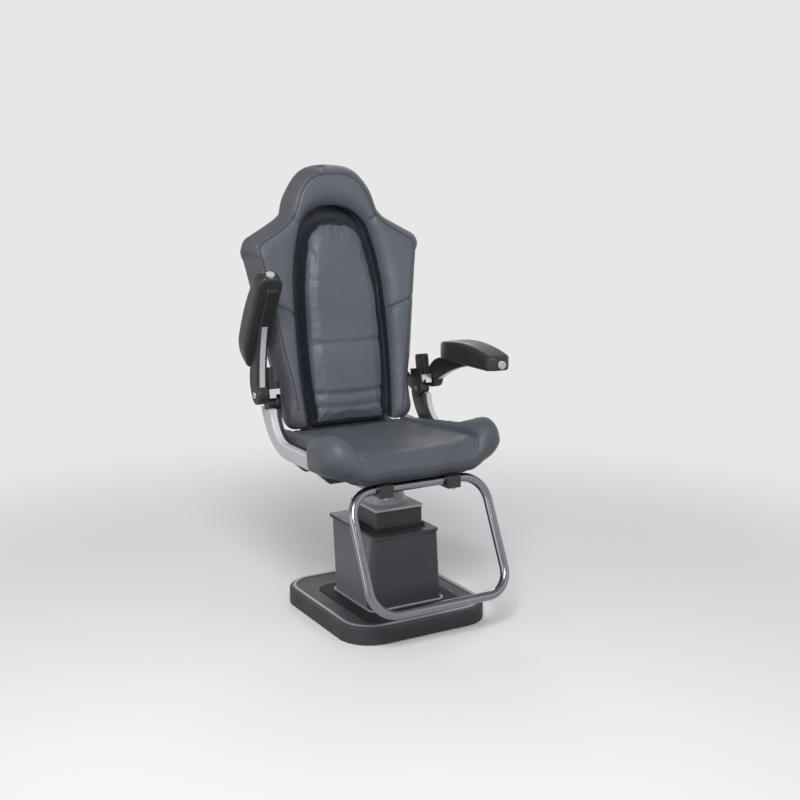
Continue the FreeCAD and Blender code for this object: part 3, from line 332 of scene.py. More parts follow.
def metal(name, color, rough, spread=0.05, streak=(1.0, 1.0, 1.0)):
    n = Nodes(name)
    n.tint(n.noise(9.0, detail=4.0), color, 0.05)
    lines = n.noise(160.0, detail=3.0, squeeze=streak)
    n.gloss(lines, rough - spread, rough + spread)
    fine = n.bump(lines, "Fac", 0.04, 0.0001)
    return n.end(fine, Metallic=1.0, Specular_IOR_Level=0.5)


def rubber(name, color):
    rough = 0.78
    n = Nodes(name)
    dust = n.noise(18.0, detail=7.0, rough=0.65)
    n.tint(dust, color, 0.18, 0.35, 0.75)
    n.gloss(dust, rough - 0.08, rough + 0.08)
    grain = n.noise(900.0, detail=3.0)
    fine = n.bump(grain, "Fac", 0.35, 0.0002)
    return n.end(fine, Specular_IOR_Level=0.3)


skin = leather("upholstery_face", srgb(90, 95, 104))
# The seat's leather is a darker copy of the face leather: painted shade for the seat's top, which gets less light
seat_shaded_skin = leather("upholstery_seat_shaded", srgb(80, 84, 92))
boxing = leather("upholstery_boxing", srgb(86, 84, 91), grain=1200.0)
# Dark leather that paints the shade in the groove round the centre panel: on its deep walls, the panel's sides,
# the back board and the lining
shade = leather("upholstery_groove_painted_shade", srgb(38, 42, 52))
piping_skin = leather("upholstery_piping", srgb(66, 69, 77), grain=2400.0, depth=0.0001)
thread = plastic("stitch_thread", srgb(58, 62, 70), rough=0.7, grain=3000.0)
black = plastic("black_plastic", srgb(38, 38, 41), rough=0.46)
dark_grey = plastic("dark_grey_plastic", srgb(60, 60, 65), rough=0.42)
column_grey = plastic("column_grey", srgb(58, 59, 64), rough=0.38)
rear_grey = plastic("rear_cover_grey", srgb(112, 109, 119), rough=0.48)
lid_grey = plastic("lid_plastic", srgb(52, 52, 56), rough=0.44)
light_plastic = plastic("light_plastic", srgb(190, 191, 196), rough=0.38)
# The cap's plastic is lighter than light_plastic: its pale colour with painted light against the seat's shadow
cap_plastic_painted_light = plastic("cap_plastic_painted_light", srgb(222, 222, 226), rough=0.34)
trim_plastic = plastic("trim_plastic", srgb(140, 142, 148), rough=0.4)
pad_black = plastic("arm_pad_foam", srgb(48, 48, 51), 0.42, grain=1400.0, depth=0.00025)
base_grey = plastic("base_grey", srgb(66, 66, 70), rough=0.58, grain=800.0, specular=0.3)
white_paint = paint("white_paint", srgb(206, 207, 213))
black_paint = paint("black_paint", srgb(40, 40, 43), rough=0.4)
grey_paint = paint("grey_paint", srgb(95, 95, 100), rough=0.45)
chrome = metal("polished_chrome", (0.24, 0.245, 0.27), rough=0.16, spread=0.04)
steel = metal("machined_steel", (0.50, 0.50, 0.52), rough=0.32, streak=(0.05, 1.0, 1.0))
silver = metal("satin_silver", (0.66, 0.67, 0.70), rough=0.30, streak=(1.0, 0.08, 1.0))
black_rubber = rubber("black_rubber", srgb(36, 37, 40))

# Mesh helpers


def new_object(name, mesh):
    item = bpy.data.objects.new(name, mesh)
    bpy.context.scene.collection.objects.link(item)
    return item


def from_bmesh(name, bm):
    mesh = bpy.data.meshes.new(name)
    bm.to_mesh(mesh)
    bm.free()
    return new_object(name, mesh)


def from_lists(name, points, faces):
    mesh = bpy.data.meshes.new(name)
    mesh.from_pydata([tuple(p) for p in points], [], faces)
    mesh.update()
    return new_object(name, mesh)


def bake(item):
    """Applies all modifiers."""
    graph = bpy.context.evaluated_depsgraph_get()
    mesh = bpy.data.meshes.new_from_object(item.evaluated_get(graph))
    item.modifiers.clear()
    item.data = mesh
    return item


def place(item, body, material, slot, *nodes):
    """Gives a finished piece its material and its body, and hides the CAD nodes it stands for."""
    if material is not None:
        item.data.materials.clear()
        item.data.materials.append(material)
    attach(item, body)
    if nodes:
        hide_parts(*nodes)


def points_of(mesh):
    flat = np.zeros(len(mesh.vertices) * 3)
    mesh.vertices.foreach_get("co", flat)
    return flat.reshape(-1, 3)


def set_points(mesh, points):
    mesh.vertices.foreach_set("co", points.astype(np.float32).ravel())
    mesh.update()


def normals_of(mesh):
    flat = np.zeros(len(mesh.vertices) * 3)
    mesh.vertex_normals.foreach_get("vector", flat)
    return flat.reshape(-1, 3)


def of_faces(mesh, what):
    """The center or the normal of each face."""
    flat = np.zeros(len(mesh.polygons) * 3)
    mesh.polygons.foreach_get(what, flat)
    return flat.reshape(-1, 3)


def swell(item, amount):
    """Moves a surface along its normals."""
    set_points(item.data, points_of(item.data) + normals_of(item.data) * amount)


def relax(item, rounds):
    smoother = item.modifiers.new("relax", "SMOOTH")
    smoother.factor = 0.5
    smoother.iterations = rounds
    bake(item)


def remesh(item, cell, rounds):
    """Rebuilds a surface from even cells and relaxes it."""
    grid = item.modifiers.new("remesh", "REMESH")
    grid.mode = "VOXEL"
    grid.voxel_size = cell
    bake(item)
    relax(item, rounds)


def clean_copy(node):
    """A CAD node's surface with shared corners."""
    bm = bmesh.new()
    bm.from_mesh(frame["nodes"][node].data)
    bmesh.ops.remove_doubles(bm, verts=bm.verts, dist=2e-6)
    return bm


def softened(node, name, width, segments):
    """A copy of a hard CAD piece with whole flat faces and its sharp edges rounded."""
    bm = clean_copy(node)
    bmesh.ops.dissolve_limit(bm, angle_limit=dissolve_angle, verts=bm.verts, edges=bm.edges)
    item = from_bmesh(name, bm)
    edge = item.modifiers.new("edges", "BEVEL")
    edge.width = width
    edge.segments = segments
    edge.limit_method = "ANGLE"
    edge.angle_limit = bevel_angle
    edge.use_clamp_overlap = True
    bake(item)
    item.data.shade_smooth()
    item.data.set_sharp_from_angle(angle=sharp_angle)
    flat = item.modifiers.new("flat_faces", "WEIGHTED_NORMAL")
    flat.keep_sharp = True
    return bake(item)


def tube(name, path, radius, closed, sides):
    """A round tube along a path of points."""
    path = [Vector(p) for p in path]
    count = len(path)
    tangents = []
    for i in range(count):
        before = path[i - 1] if closed or i > 0 else path[i]
        after = path[(i + 1) % count] if closed or i < count - 1 else path[i]
        tangents.append((after - before).normalized())
    side = tangents[0].orthogonal().normalized()
    sides_of = [side]
    for i in range(1, count):
        turn = tangents[i - 1].rotation_difference(tangents[i])
        side = turn @ side
        side = (side - tangents[i] * side.dot(tangents[i])).normalized()
        sides_of.append(side)
    twist = 0.0
    if closed:
        back = tangents[-1].rotation_difference(tangents[0]) @ sides_of[-1]
        across = tangents[0].cross(sides_of[0])
        twist = -math.atan2(back.dot(across), back.dot(sides_of[0]))
    points = []
    for i in range(count):
        turn = twist * i / count
        up = tangents[i].cross(sides_of[i])
        for j in range(sides):
            angle = turn + 2 * math.pi * j / sides
            spoke = sides_of[i] * math.cos(angle) + up * math.sin(angle)
            points.append(path[i] + spoke * radius)
    faces = []
    last = count if closed else count - 1
    for i in range(last):
        k = (i + 1) % count
        for j in range(sides):
            m = (j + 1) % sides
            faces.append((i * sides + j, i * sides + m, k * sides + m, k * sides + j))
    if not closed:
        faces.append(tuple(range(sides))[::-1])
        faces.append(tuple((count - 1) * sides + j for j in range(sides)))
    item = from_lists(name, points, faces)
    item.data.shade_smooth()
    return item


def resample(points, step, closed):
    """Points at an even spacing along a path."""
    path = np.array([tuple(p) for p in points])
    if closed:
        path = np.vstack([path, path[:1]])
    lengths = np.linalg.norm(np.diff(path, axis=0), axis=1)
    along = np.concatenate([[0], np.cumsum(lengths)])
    count = max(8, int(round(along[-1] / step)))
    at = np.linspace(0, along[-1], count + 1)
    if closed:
        at = at[:-1]
    return np.column_stack([np.interp(at, along, path[:, k]) for k in range(3)])


def eased(points, rounds, closed=True):
    """A path with its small kinks smoothed away."""
    for _ in range(rounds):
        if closed:
            points = (np.roll(points, 1, 0) + 2 * points + np.roll(points, -1, 0)) / 4
        else:
            middle = (points[:-2] + 2 * points[1:-1] + points[2:]) / 4
            points = np.vstack([points[:1], middle, points[-1:]])
    return points


def sections(item, origin, normal):
    """The closed loops in which a plane cuts a piece, longest first."""
    bm = bmesh.new()
    bm.from_mesh(item.data)
    geometry = bm.verts[:] + bm.edges[:] + bm.faces[:]
    cut = bmesh.ops.bisect_plane(bm, geom=geometry, plane_co=origin, plane_no=normal)["geom_cut"]
    edges = [e for e in cut if isinstance(e, bmesh.types.BMEdge)]
    links = {}
    for e in edges:
        a, b = e.verts
        links.setdefault(a, []).append(b)
        links.setdefault(b, []).append(a)
    loops = []
    seen = set()
    for start in links:
        if start in seen:
            continue
        loop = [start]
        seen.add(start)
        here = start
        while True:
            nxt = next((v for v in links[here] if v not in seen), None)
            if nxt is None:
                break
            loop.append(nxt)
            seen.add(nxt)
            here = nxt
        loops.append([v.co.copy() for v in loop])
    bm.free()

    def length(loop):
        return sum((loop[i] - loop[i - 1]).length for i in range(len(loop)))
    return sorted(loops, key=length, reverse=True)


# Upholstery: a copy of the CAD form is remeshed, blown up as cloth, then sewn


def inflate(item, pinned):
    """Runs a short cloth simulation with inner pressure and keeps its result."""
    rest = points_of(item.data).copy()
    group = item.vertex_groups.new(name="pinned")
    group.add([int(i) for i in np.nonzero(pinned(rest))[0]], 1.0, "REPLACE")
    cloth = item.modifiers.new("cloth", "CLOTH")
    settings = cloth.settings
    settings.quality = 5
    settings.mass = 0.25
    settings.tension_stiffness = 12
    settings.compression_stiffness = 12
    settings.shear_stiffness = 6
    settings.bending_stiffness = 0.6
    settings.use_pressure = True
    settings.uniform_pressure_force = sim_pressure
    settings.vertex_group_mass = "pinned"
    settings.effector_weights.gravity = 0
    cloth.point_cache.frame_start = 1
    cloth.point_cache.frame_end = sim_frames
    scene = bpy.context.scene
    for number in range(1, sim_frames + 1):
        scene.frame_set(number)
    bake(item)
    scene.frame_set(1)
    item.vertex_groups.clear()
    moved = points_of(item.data)
    step = moved - rest
    length = np.linalg.norm(step, axis=1, keepdims=True)
    step *= np.minimum(1.0, swell_limit / np.maximum(length, 1e-9))
    set_points(item.data, rest + step)


def cushion_form(node, name, shrink, pinned):
    """The soft form of one cushion: shrunk, remeshed, blown up and subdivided once."""
    item = from_bmesh(name, clean_copy(node))
    swell(item, -shrink)
    remesh(item, voxel, 3)
    inflate(item, pinned)
    divide = item.modifiers.new("divide", "SUBSURF")
    divide.levels = 1
    divide.render_levels = 1
    bake(item)
    item.data.shade_smooth()
    return item


def distance_to_path(points, path):
    """Each point's distance to a path in two dimensions, and how far along the path that is."""
    best = np.full(len(points), 1e9)
    along = np.zeros(len(points))
    travelled = 0.0
    for a, b in zip(path[:-1], path[1:]):
        span = b - a
        length = np.linalg.norm(span)
        t = np.clip(((points - a) @ span) / (length * length), 0, 1)
        gap = np.linalg.norm(points - (a + t[:, None] * span), axis=1)
        closer = gap < best
        best[closer] = gap[closer]
        along[closer] = travelled + t[closer] * length
        travelled += length
    return best, along


def sew(item, flat, facing, path, depth, width=seam_width, pucker=0.0006):
    """Draws the surface in along a seam, with small puckers beside it."""
    period, slow, shift, reach = 0.021, 2.7, 1.3, 0.02
    gap, along = distance_to_path(flat(points_of(item.data)), np.array(path))
    weight = np.clip(facing(normals_of(item.data)) * 2.2 - 0.2, 0, 1)
    draw = -depth * np.exp(-(gap / width) ** 2)
    turns = 2 * math.pi * along
    wave = np.sin(turns / period) * np.sin(turns / (period * slow) + shift)
    wave = pucker * wave * np.exp(-gap / reach) * (1 - np.exp(-(gap / width) ** 2))
    swell(item, ((draw + wave) * weight)[:, None])


def wrinkle(item, amount, scale, seed):
    """Slow unevenness of a stuffed surface."""
    offset = Vector((seed, seed * 2, seed * 3))
    points = points_of(item.data)
    values = np.array([noise.noise(Vector(p) * scale + offset) for p in points])
    swell(item, (values * amount)[:, None])


def stitches(name, path, body, up):
    """A row of short thread stitches along a path that lies on a surface."""
    length, gap, thick, sides = 0.0042, 0.0022, 0.00055, 5
    sunk, raised = (0.25, -0.9), (0.9, 0.35)
    line = resample(path, length + gap, closed=False)
    points = []
    faces = []
    for a, b in zip(line[:-1], line[1:]):
        a = Vector(a)
        b = Vector(b)
        ahead = (b - a).normalized()
        side = ahead.cross(up).normalized()
        rise = side.cross(ahead).normalized()
        end = a + ahead * length
        base = len(points)
        centres = (a, a.lerp(end, 0.18), a.lerp(end, 0.82), end)
        for centre, (size, height) in zip(centres, (sunk, raised, raised, sunk)):
            for j in range(sides):
                angle = 2 * math.pi * j / sides
                spread = side * math.cos(angle) + rise * math.sin(angle)
                points.append(centre + rise * thick * height + spread * thick * size)
        for ring in range(3):
            for j in range(sides):
                m = (j + 1) % sides
                low = base + ring * sides
                faces.append((low + j, low + m, low + sides + m, low + sides + j))
        faces.append(tuple(base + j for j in range(sides))[::-1])
        faces.append(tuple(base + 3 * sides + j for j in range(sides)))
    item = from_lists(name, points, faces)
    item.data.shade_smooth()
    place(item, body, thread, "upholstery")


def sections_at_depth(item, depth):
    """Loops at one depth of the leaning backrest."""
    origin = lean @ Vector((0, depth, 0))
    normal = (lean @ Vector((0, depth + 1, 0))) - origin
    return sections(item, origin, normal)


def in_lean(points):
    matrix = np.array(lean_back)
    return points @ matrix[:3, :3].T + matrix[:3, 3]


def lean_directions(normals):
    matrix = np.array(lean_back)
    return normals @ matrix[:3, :3].T


def lean_plan(points):
    local = in_lean(points)
    return local[:, [0, 2]]


def faces_forward(normals):
    return -lean_directions(normals)[:, 1]


def ramp_of(values, start, end):
    """A smooth step from 0 at start to 1 at end."""
    t = np.clip((values - start) / (end - start), 0, 1)
    return t * t * (3 - 2 * t)


def laid_on(item, points, direction):
    """Where rays from points meet a piece."""
    tree = BVHTree.FromPolygons(
        [tuple(v) for v in points_of(item.data)], [tuple(f.vertices) for f in item.data.polygons]
    )
    found = [tree.ray_cast(Vector(p), direction)[0] for p in points]
    return [p for p in found if p is not None]


def seam_stitches(name, item, plan_path, offset, body, lift, direction):
    """A row of stitches beside a seam, dropped on to the surface along a direction."""
    path = np.array(plan_path)
    ahead = np.gradient(path, axis=0)
    ahead /= np.linalg.norm(ahead, axis=1, keepdims=True)
    beside = path + np.column_stack([-ahead[:, 1], ahead[:, 0]]) * offset
    line = laid_on(item, [lift(a, b) for a, b in beside], direction)
    stitches(name, line, body, -direction)


# Seat cushion


def shape_seat(item, low):
    """Lets the front edge droop, tucks the sides under and dimples the front corners."""
    points = points_of(item.data)
    points[:, 2] = np.maximum(points[:, 2], low.z + seat_pan_gap)
    ahead = ramp_of(points[:, 1], *(low.y + reach for reach in droop_ahead))
    down = ramp_of(points[:, 2], *(low.z + reach for reach in droop_down))
    points[:, 2] -= front_droop * ahead * down
    set_points(item.data, points)
    points = points_of(item.data)
    outward = normals_of(item.data)
    outward[:, 2] = 0
    low_part = np.clip((widest_height - points[:, 2]) / (widest_height - low.z), 0, 1) ** 2
    tuck = side_tuck + corner_tuck * ramp_of(np.abs(points[:, 0]), *corner_reach)
    tuck *= low_part * ramp_of(points[:, 1], *tuck_ahead)
    points -= outward * tuck[:, None]
    for side in (-1, 1):
        away = (points - dimple_place * (side, 1, 1)) / dimple_size
        near = np.exp(-(np.linalg.norm(away, axis=1)) ** 2)
        points += (dimple_depth * near)[:, None] * (dimple_pull * (-side, 1, 1))
    set_points(item.data, points)


def seat_seam(side, front, back, count=24):
    """The line between the seat and one side bolster."""
    x, y = seat_seam_middle
    end = side * seat_seam_end
    return curve([(end, front), (side * x, y), (end, back)], count)


def make_seat():
    low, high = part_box("seat_cushion")
    item = cushion_form(
        "seat_cushion", "seat_cushion_cover", 0.003, lambda p: p[:, 2] < low.z + seat_pinned_height
    )
    shape_seat(item, low)
    wrinkle(item, 0.0007, 22.0, 3.0)
    front = low.y + seat_seam_margins[0]
    back = high.y - seat_seam_margins[1]
    for side in (-1, 1):
        seam = seat_seam(side, front, back)
        sew(item, lambda p: p[:, :2], lambda n: n[:, 2], seam, 0.006, pucker=0.0008)
    place(item, "seat", seat_shaded_skin, "upholstery", "seat_cushion")
    front += seat_stitch_margins[0]
    back -= seat_stitch_margins[1]
    down = Vector((0, 0, -1))
    for side, name in ((-1, "right"), (1, "left")):
        seam = seat_seam(side, front, back, 60)
        name = f"seat_stitches_{name}"
        seam_stitches(name, item, seam, side * stitch_offset, "seat", above, down)


def above(x, y):
    """A point over the seat, from which stitches are dropped."""
    return (x, y, 0.75)


def before_back(x, height):
    """A point in front of the backrest."""
    return tuple(lean @ Vector((x, -0.12, height)))


def back_direction():
    return (lean @ Vector((0, 1, 0)) - lean @ Vector((0, 0, 0))).normalized()


def up_direction():
    return (lean @ Vector((0, 0, 1)) - lean @ Vector((0, 0, 0))).normalized()


def curve(points, count=24):
    """A smooth path through a few plan points."""
    points = np.array(points, float)
    t = np.linspace(0, 1, len(points))
    at = np.linspace(0, 1, count)
    degree = len(points) - 1
    fits = [np.polyfit(t, column, degree) for column in points.T]
    return np.column_stack([np.polyval(fit, at) for fit in fits])


# Backrest cushions


def mirrored(points, side):
    return [(side * x, z) for x, z in points]


def bevel_band(item, outer, inner):
    """Slopes the front back towards the outline and lets the arch's rim sag."""
    points = points_of(item.data)
    local = in_lean(points)
    edge_gap, _ = distance_to_path(local[:, [0, 2]], outer)
    near = np.clip(1 - edge_gap / band_width, 0, 1)
    ahead = ramp_of(local[:, 1], *band_reach)
    fade = ramp_of(local[:, 2], *band_foot)
    points += (band_depth * near ** 1.4 * ahead * fade)[:, None] * np.array(back_direction())
    rim_gap, _ = distance_to_path(local[:, [0, 2]], inner)
    near = np.clip(1 - rim_gap / rim_width, 0, 1)
    sag = rim_sag * near * ramp_of(local[:, 2], *rim_heights) * ramp_of(local[:, 1], *rim_reach)
    points -= sag[:, None] * np.array(up_direction())
    set_points(item.data, points)


def colour_surround(item, outer):
    """Gives the front and the boxing round the sides their own leather, and paints shade on the groove's deep
    walls with the dark leather.
    """
    centres = in_lean(of_faces(item.data, "center"))
    normals = lean_directions(of_faces(item.data, "normal"))
    plan = centres[:, [0, 2]]
    edge_gap, _ = distance_to_path(plan, outer)
    outward = ((plan - surround_middle) * normals[:, [0, 2]]).sum(1) > 0
    in_band = edge_gap < band_width
    choice = np.zeros(len(centres), int)
    choice[((centres[:, 1] > boxing_depth) | in_band) & outward] = 1
    choice[in_band & (centres[:, 2] > 0)] = 1
    # Inward faces deep in the groove get the dark leather as painted shade
    choice[(centres[:, 1] > groove_depth) & ~outward & (edge_gap > band_width)] = 2
    item.data.materials.clear()
    for material in (skin, boxing, shade):
        item.data.materials.append(material)
    item.data.polygons.foreach_set("material_index", choice)


def make_surround():
    item = cushion_form(
        "back_surround_cushion", "back_surround_cover", 0.004,
        lambda p: in_lean(p)[:, 1] > pinned_depth,
    )
    wrinkle(item, 0.0007, 20.0, 5.0)
    for side in (-1, 1):
        wing = curve(mirrored(wing_seam, side))
        sew(item, lean_plan, faces_forward, wing, 0.006, pucker=0.0010)
        sew(item, lean_plan, faces_forward, curve(mirrored(neck_seam, side)), 0.004)
    outer, inner = outline_parts(item)
    bevel_band(item, outer, inner)
    band = offset_path(outer, band_width)
    sew(item, lean_plan, faces_forward, band, 0.0022, 0.0035, pucker=0.0004)
    colour_surround(item, outer)
    place(item, "backrest", None, "upholstery", "back_surround_cushion")
    into = back_direction()
    for side, name in ((1, "left"), (-1, "right")):
        wing = curve(mirrored(wing_stitch_line, side), 40)
        name = f"wing_stitches_{name}"
        seam_stitches(name, item, wing, -side * stitch_offset, "backrest", before_back, into)
    path = laid_on(item, [before_back(x, height) for x, height in band], into)
    path = eased(resample(path, 0.005, False), 4, False)[6:-6]
    piping = tube("back_piping_front", path, front_piping_radius, False, 10)
    place(piping, "backrest", piping_skin, "upholstery")
    return item


def outline_parts(item):
    """The outer and the inner part of the surround's outline, in the plane of the backrest."""
    loop = np.array([tuple(p) for p in sections_at_depth(item, outline_depth)[0]])
    loop = in_lean(loop)[:, [0, 2]]
    high = np.maximum(loop[:, 1] - arch_centre, 0)
    reach = (loop[:, 0] / arch_width) ** 2 + (high / arch_height) ** 2
    parts = []
    for chosen in (reach > 1, reach < 1):
        chosen &= loop[:, 1] > outline_foot
        starts = np.nonzero(chosen & ~np.roll(chosen, 1))[0]
        shift = -int(starts[0])
        parts.append(np.roll(loop, shift, axis=0)[np.roll(chosen, shift)])
    return parts


def even_path(path, rounds):
    """A path in the plane of the backrest, evenly spaced and eased."""
    spaced = resample([Vector((x, y, 0)) for x, y in path], outline_step, False)
    return np.array([tuple(p)[:2] for p in eased(spaced, rounds, False)])


def offset_path(path, distance):
    """A path that runs beside another on the side of the backrest's middle."""
    even = even_path(path, 5)
    ahead = np.gradient(even, axis=0)
    ahead /= np.linalg.norm(ahead, axis=1, keepdims=True)
    beside = np.column_stack([-ahead[:, 1], ahead[:, 0]])
    half = len(even) // 2
    if ((outline_middle - even[half]) @ beside[half]) < 0:
        beside = -beside
    moved = even + beside * distance
    kept = [p for p in moved if np.min(np.linalg.norm(even - p, axis=1)) > distance * 0.985]
    return even_path(kept, 8)


def make_back_piping(surround):
    loop = sections_at_depth(surround, rear_piping_depth)[0]
    path = eased(resample(loop, outline_step, True), 6)
    piping = tube("back_piping_rear", path, rear_piping_radius, True, 10)
    place(piping, "backrest", piping_skin, "upholstery")


def lining_profile(face, layer):
    """One side of the lining as (y, z) points: an arc round the hinge, then up to the board."""
    profile = []
    radius = lining_radius - layer
    for step in range(lining_arc_steps + 1):
        angle = math.radians(lining_start + lining_sweep * step / lining_arc_steps)
        profile.append((hinge.y + radius * math.sin(angle), hinge.z - radius * math.cos(angle)))
    top = lean @ Vector((0, face - layer, lining_top))
    low_y, low_z = profile[-1]
    for step in range(1, lining_rise_steps + 1):
        t = step / lining_rise_steps
        profile.append((low_y + (top.y - low_y) * t, low_z + (top.z - low_z) * t))
    return profile


def make_shade_lining():
    """The dark sheet that closes the groove at its lower end, coloured with the groove's painted shade."""
    board = in_lean(points_of(frame["nodes"]["back_board"].data))
    face = board[:, 1].min() - lining_gap
    columns = lining_columns
    verts = []
    for layer in (0.0, lining_thickness):
        profile = lining_profile(face, layer)
        for y, z in profile:
            for k in range(columns):
                verts.append((-lining_half + 2 * lining_half * k / (columns - 1), y, z))
    rows = len(profile)
    layer_size = rows * columns
    faces = []
    for row in range(rows - 1):
        for k in range(columns - 1):
            a = row * columns + k
            faces.append((a, a + columns, a + columns + 1, a + 1))
            b = a + layer_size
            faces.append((b, b + 1, b + columns + 1, b + columns))
    rim = list(range(columns))
    rim += [row * columns + columns - 1 for row in range(1, rows)]
    rim += [(rows - 1) * columns + k for k in range(columns - 2, -1, -1)]
    rim += [row * columns for row in range(rows - 2, 0, -1)]
    for a, b in zip(rim, rim[1:] + rim[:1]):
        faces.append((a, b, b + layer_size, a + layer_size))
    item = from_lists("back_shade_lining", verts, faces)
    bm = bmesh.new()
    bm.from_mesh(item.data)
    bmesh.ops.recalc_face_normals(bm, faces=bm.faces[:])
    bm.to_mesh(item.data)
    bm.free()
    item.data.shade_smooth()
    place(item, "backrest", shade, "upholstery")


def shape_centre(item):
    """Bulges the panel, widens its top and carries its foot on round the hinge."""
    points = points_of(item.data)
    local = in_lean(points)
    rise = np.minimum(((local[:, 2] - panel_middle) / panel_half) ** 2, 1.0)
    front = ramp_of(local[:, 1], *panel_front)
    ahead = np.array(back_direction())
    normals = normals_of(item.data)
    sideways = normals - (normals @ ahead)[:, None] * ahead
    points += sideways * (top_widening * ramp_of(local[:, 2], *top_heights))[:, None]
    points += ((panel_bulge * rise - panel_inset) * front)[:, None] * ahead
    low = local[:, 2] < foot_height
    centre = np.array([hinge.y, hinge.z])
    arm = points[:, 1:] - centre
    size = np.linalg.norm(arm, axis=1)
    reach = size + foot_extension * ramp_of(size, *foot_radii)
    points[low, 1:] = (centre + arm * (reach / size)[:, None])[low]
    set_points(item.data, points)


def make_centre():
    item = cushion_form(
        "back_centre_cushion", "back_centre_cover", 0.003,
        lambda p: in_lean(p)[:, 1] > pinned_depth,
    )
    shape_centre(item)
    wrinkle(item, 0.0009, 18.0, 9.0)
    for height, depth, width in creases:
        path = [
            (-crease_half, height + crease_bow), (0.0, height - crease_bow),
            (crease_half, height + crease_bow),
        ]
        sew(item, lean_plan, faces_forward, curve(path), depth, width, pucker=0.0008)
    item.data.materials.clear()
    for material in (skin, shade):
        item.data.materials.append(material)
    # The panel's sides, behind panel_edge, get the dark leather as painted shade
    depth = in_lean(of_faces(item.data, "center"))[:, 1]
    item.data.polygons.foreach_set("material_index", (depth > panel_edge).astype(int))
    place(item, "backrest", None, "upholstery", "back_centre_cushion")


# Footrest hoop


def make_hoop():
    """A closed tube with round corners, in a plane that slopes forwards and down."""
    low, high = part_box("footrest_hoop")
    corner = hoop_corner
    slope, drop = math.sin(hoop_tilt), math.cos(hoop_tilt)
    half = high.x - hoop_radius
    top = high.z - hoop_radius
    length = (high.z - low.z - 2 * hoop_radius) / drop
    front = low.y + hoop_radius
    back = front + length * slope
    path = []
    for cx, cz, start in (
        (half - corner, -corner, 0), (-half + corner, -corner, 90),
        (-half + corner, -length + corner, 180), (half - corner, -length + corner, 270),
    ):
        for step in range(17):
            angle = math.radians(start + 90 * step / 16)
            x = cx + corner * math.cos(angle)
            z = cz + corner * math.sin(angle)
            path.append(Vector((x, back + z * slope, top + z * drop)))
    dense = resample(path, 0.008, True)
    item = tube("footrest_hoop_tube", dense, hoop_radius, True, 32)
    place(item, "seat", chrome, "chrome", "footrest_hoop")


# Hard pieces


def dress():
    """Rounds the edges of the hard CAD pieces and gives each its material."""
    # Node, material, edge width and segments
    hard = (
        ("base_cover", base_grey, 0.0012, 2),
        ("base_edge_trim", trim_plastic, 0.0007, 2),
        ("column_foot_trim", trim_plastic, 0.0015, 3),
        ("base_mat", black_rubber, 0.0008, 2),
        ("lower_front_cover", column_grey, 0.0008, 2),
        ("lower_rear_cover", rear_grey, 0.0008, 2),
        ("housing_lid", lid_grey, 0.0006, 2),
        ("wiper_gasket", black_rubber, 0.0006, 2),
        ("upper_box_cover", dark_grey, 0.0012, 3),
        ("upper_cap", cap_plastic_painted_light, 0.0006, 2),
        ("swivel_housing", white_paint, 0.0025, 3),
        ("seat_mount_plate", white_paint, 0.0012, 2),
        ("swivel_spindle", steel, 0.001, 2),
        ("hoop_clamps", black_paint, 0.0012, 2),
        ("clamp_screws", steel, 0.0006, 2),
        ("seat_side_plates", black_paint, 0.0010, 2),
        ("seat_pan", black_paint, 0.0008, 2),
        ("left_bracket_plate", black_paint, 0.0012, 2),
        ("right_bracket_plate", black_paint, 0.0012, 2),
        ("left_bracket_cover", white_paint, 0.0010, 2),
        ("right_bracket_cover", white_paint, 0.0010, 2),
        ("recliner_hubs", black, 0.0015, 3),
        ("upright_blocks", silver, 0.0015, 3),
        ("pivot_covers", black, 0.0018, 3),
        ("arm_bolts", steel, 0.0010, 2),
        ("back_frame", black_paint, 0.0006, 2),
        # The back board gets the dark groove leather, painted shade where it shows in the groove
        ("back_board", shade, 0.0010, 2),
        ("mains_inlet", black, 0.0008, 2),
        ("left_arm_strip", silver, 0.0004, 2),
        ("right_arm_strip", silver, 0.0004, 2),
    )
    slots = {part["node"]: part["material_slot"] for part in frame["record"]["subparts"]}
    groups = frame["record"]["behaviour"]["bodies"]
    bodies = {node: body for body, group in groups.items() for node in group}
    for node, material, width, segments in hard:
        item = softened(node, node + "_piece", width, segments)
        place(item, bodies[node], material, slots[node], node)
    # Nodes that stay as they are
    kept = (
        ("base_plate", grey_paint), ("levelling_feet", black_rubber), ("cover_screws", steel),
        ("outer_guide_tube", steel), ("outer_guide_pads", light_plastic),
        ("actuator_gearbox", silver), ("actuator_motor", grey_paint), ("actuator_tube", steel),
        ("control_box", black), ("inner_guide_tube", steel), ("inner_guide_pads", light_plastic),
        ("actuator_rod", chrome), ("lift_head_plate", steel), ("swivel_bearings", steel),
        ("bracket_bolts", steel), ("recliner_pins", steel), ("seat_frame", black_paint),
        ("recliner_side_plates", black_paint), ("back_shell", dark_grey),
        ("left_arm_button", light_plastic), ("right_arm_button", light_plastic),
    )
    for node, material in kept:
        materials = frame["nodes"][node].data.materials
        materials.clear()
        materials.append(material)


def moulded(node, name, cell, rounds, growth):
    """A copy of a CAD piece with the soft corners of moulded foam or plastic."""
    item = from_bmesh(name, clean_copy(node))
    remesh(item, cell, rounds)
    swell(item, growth)
    item.data.shade_smooth()
    return item


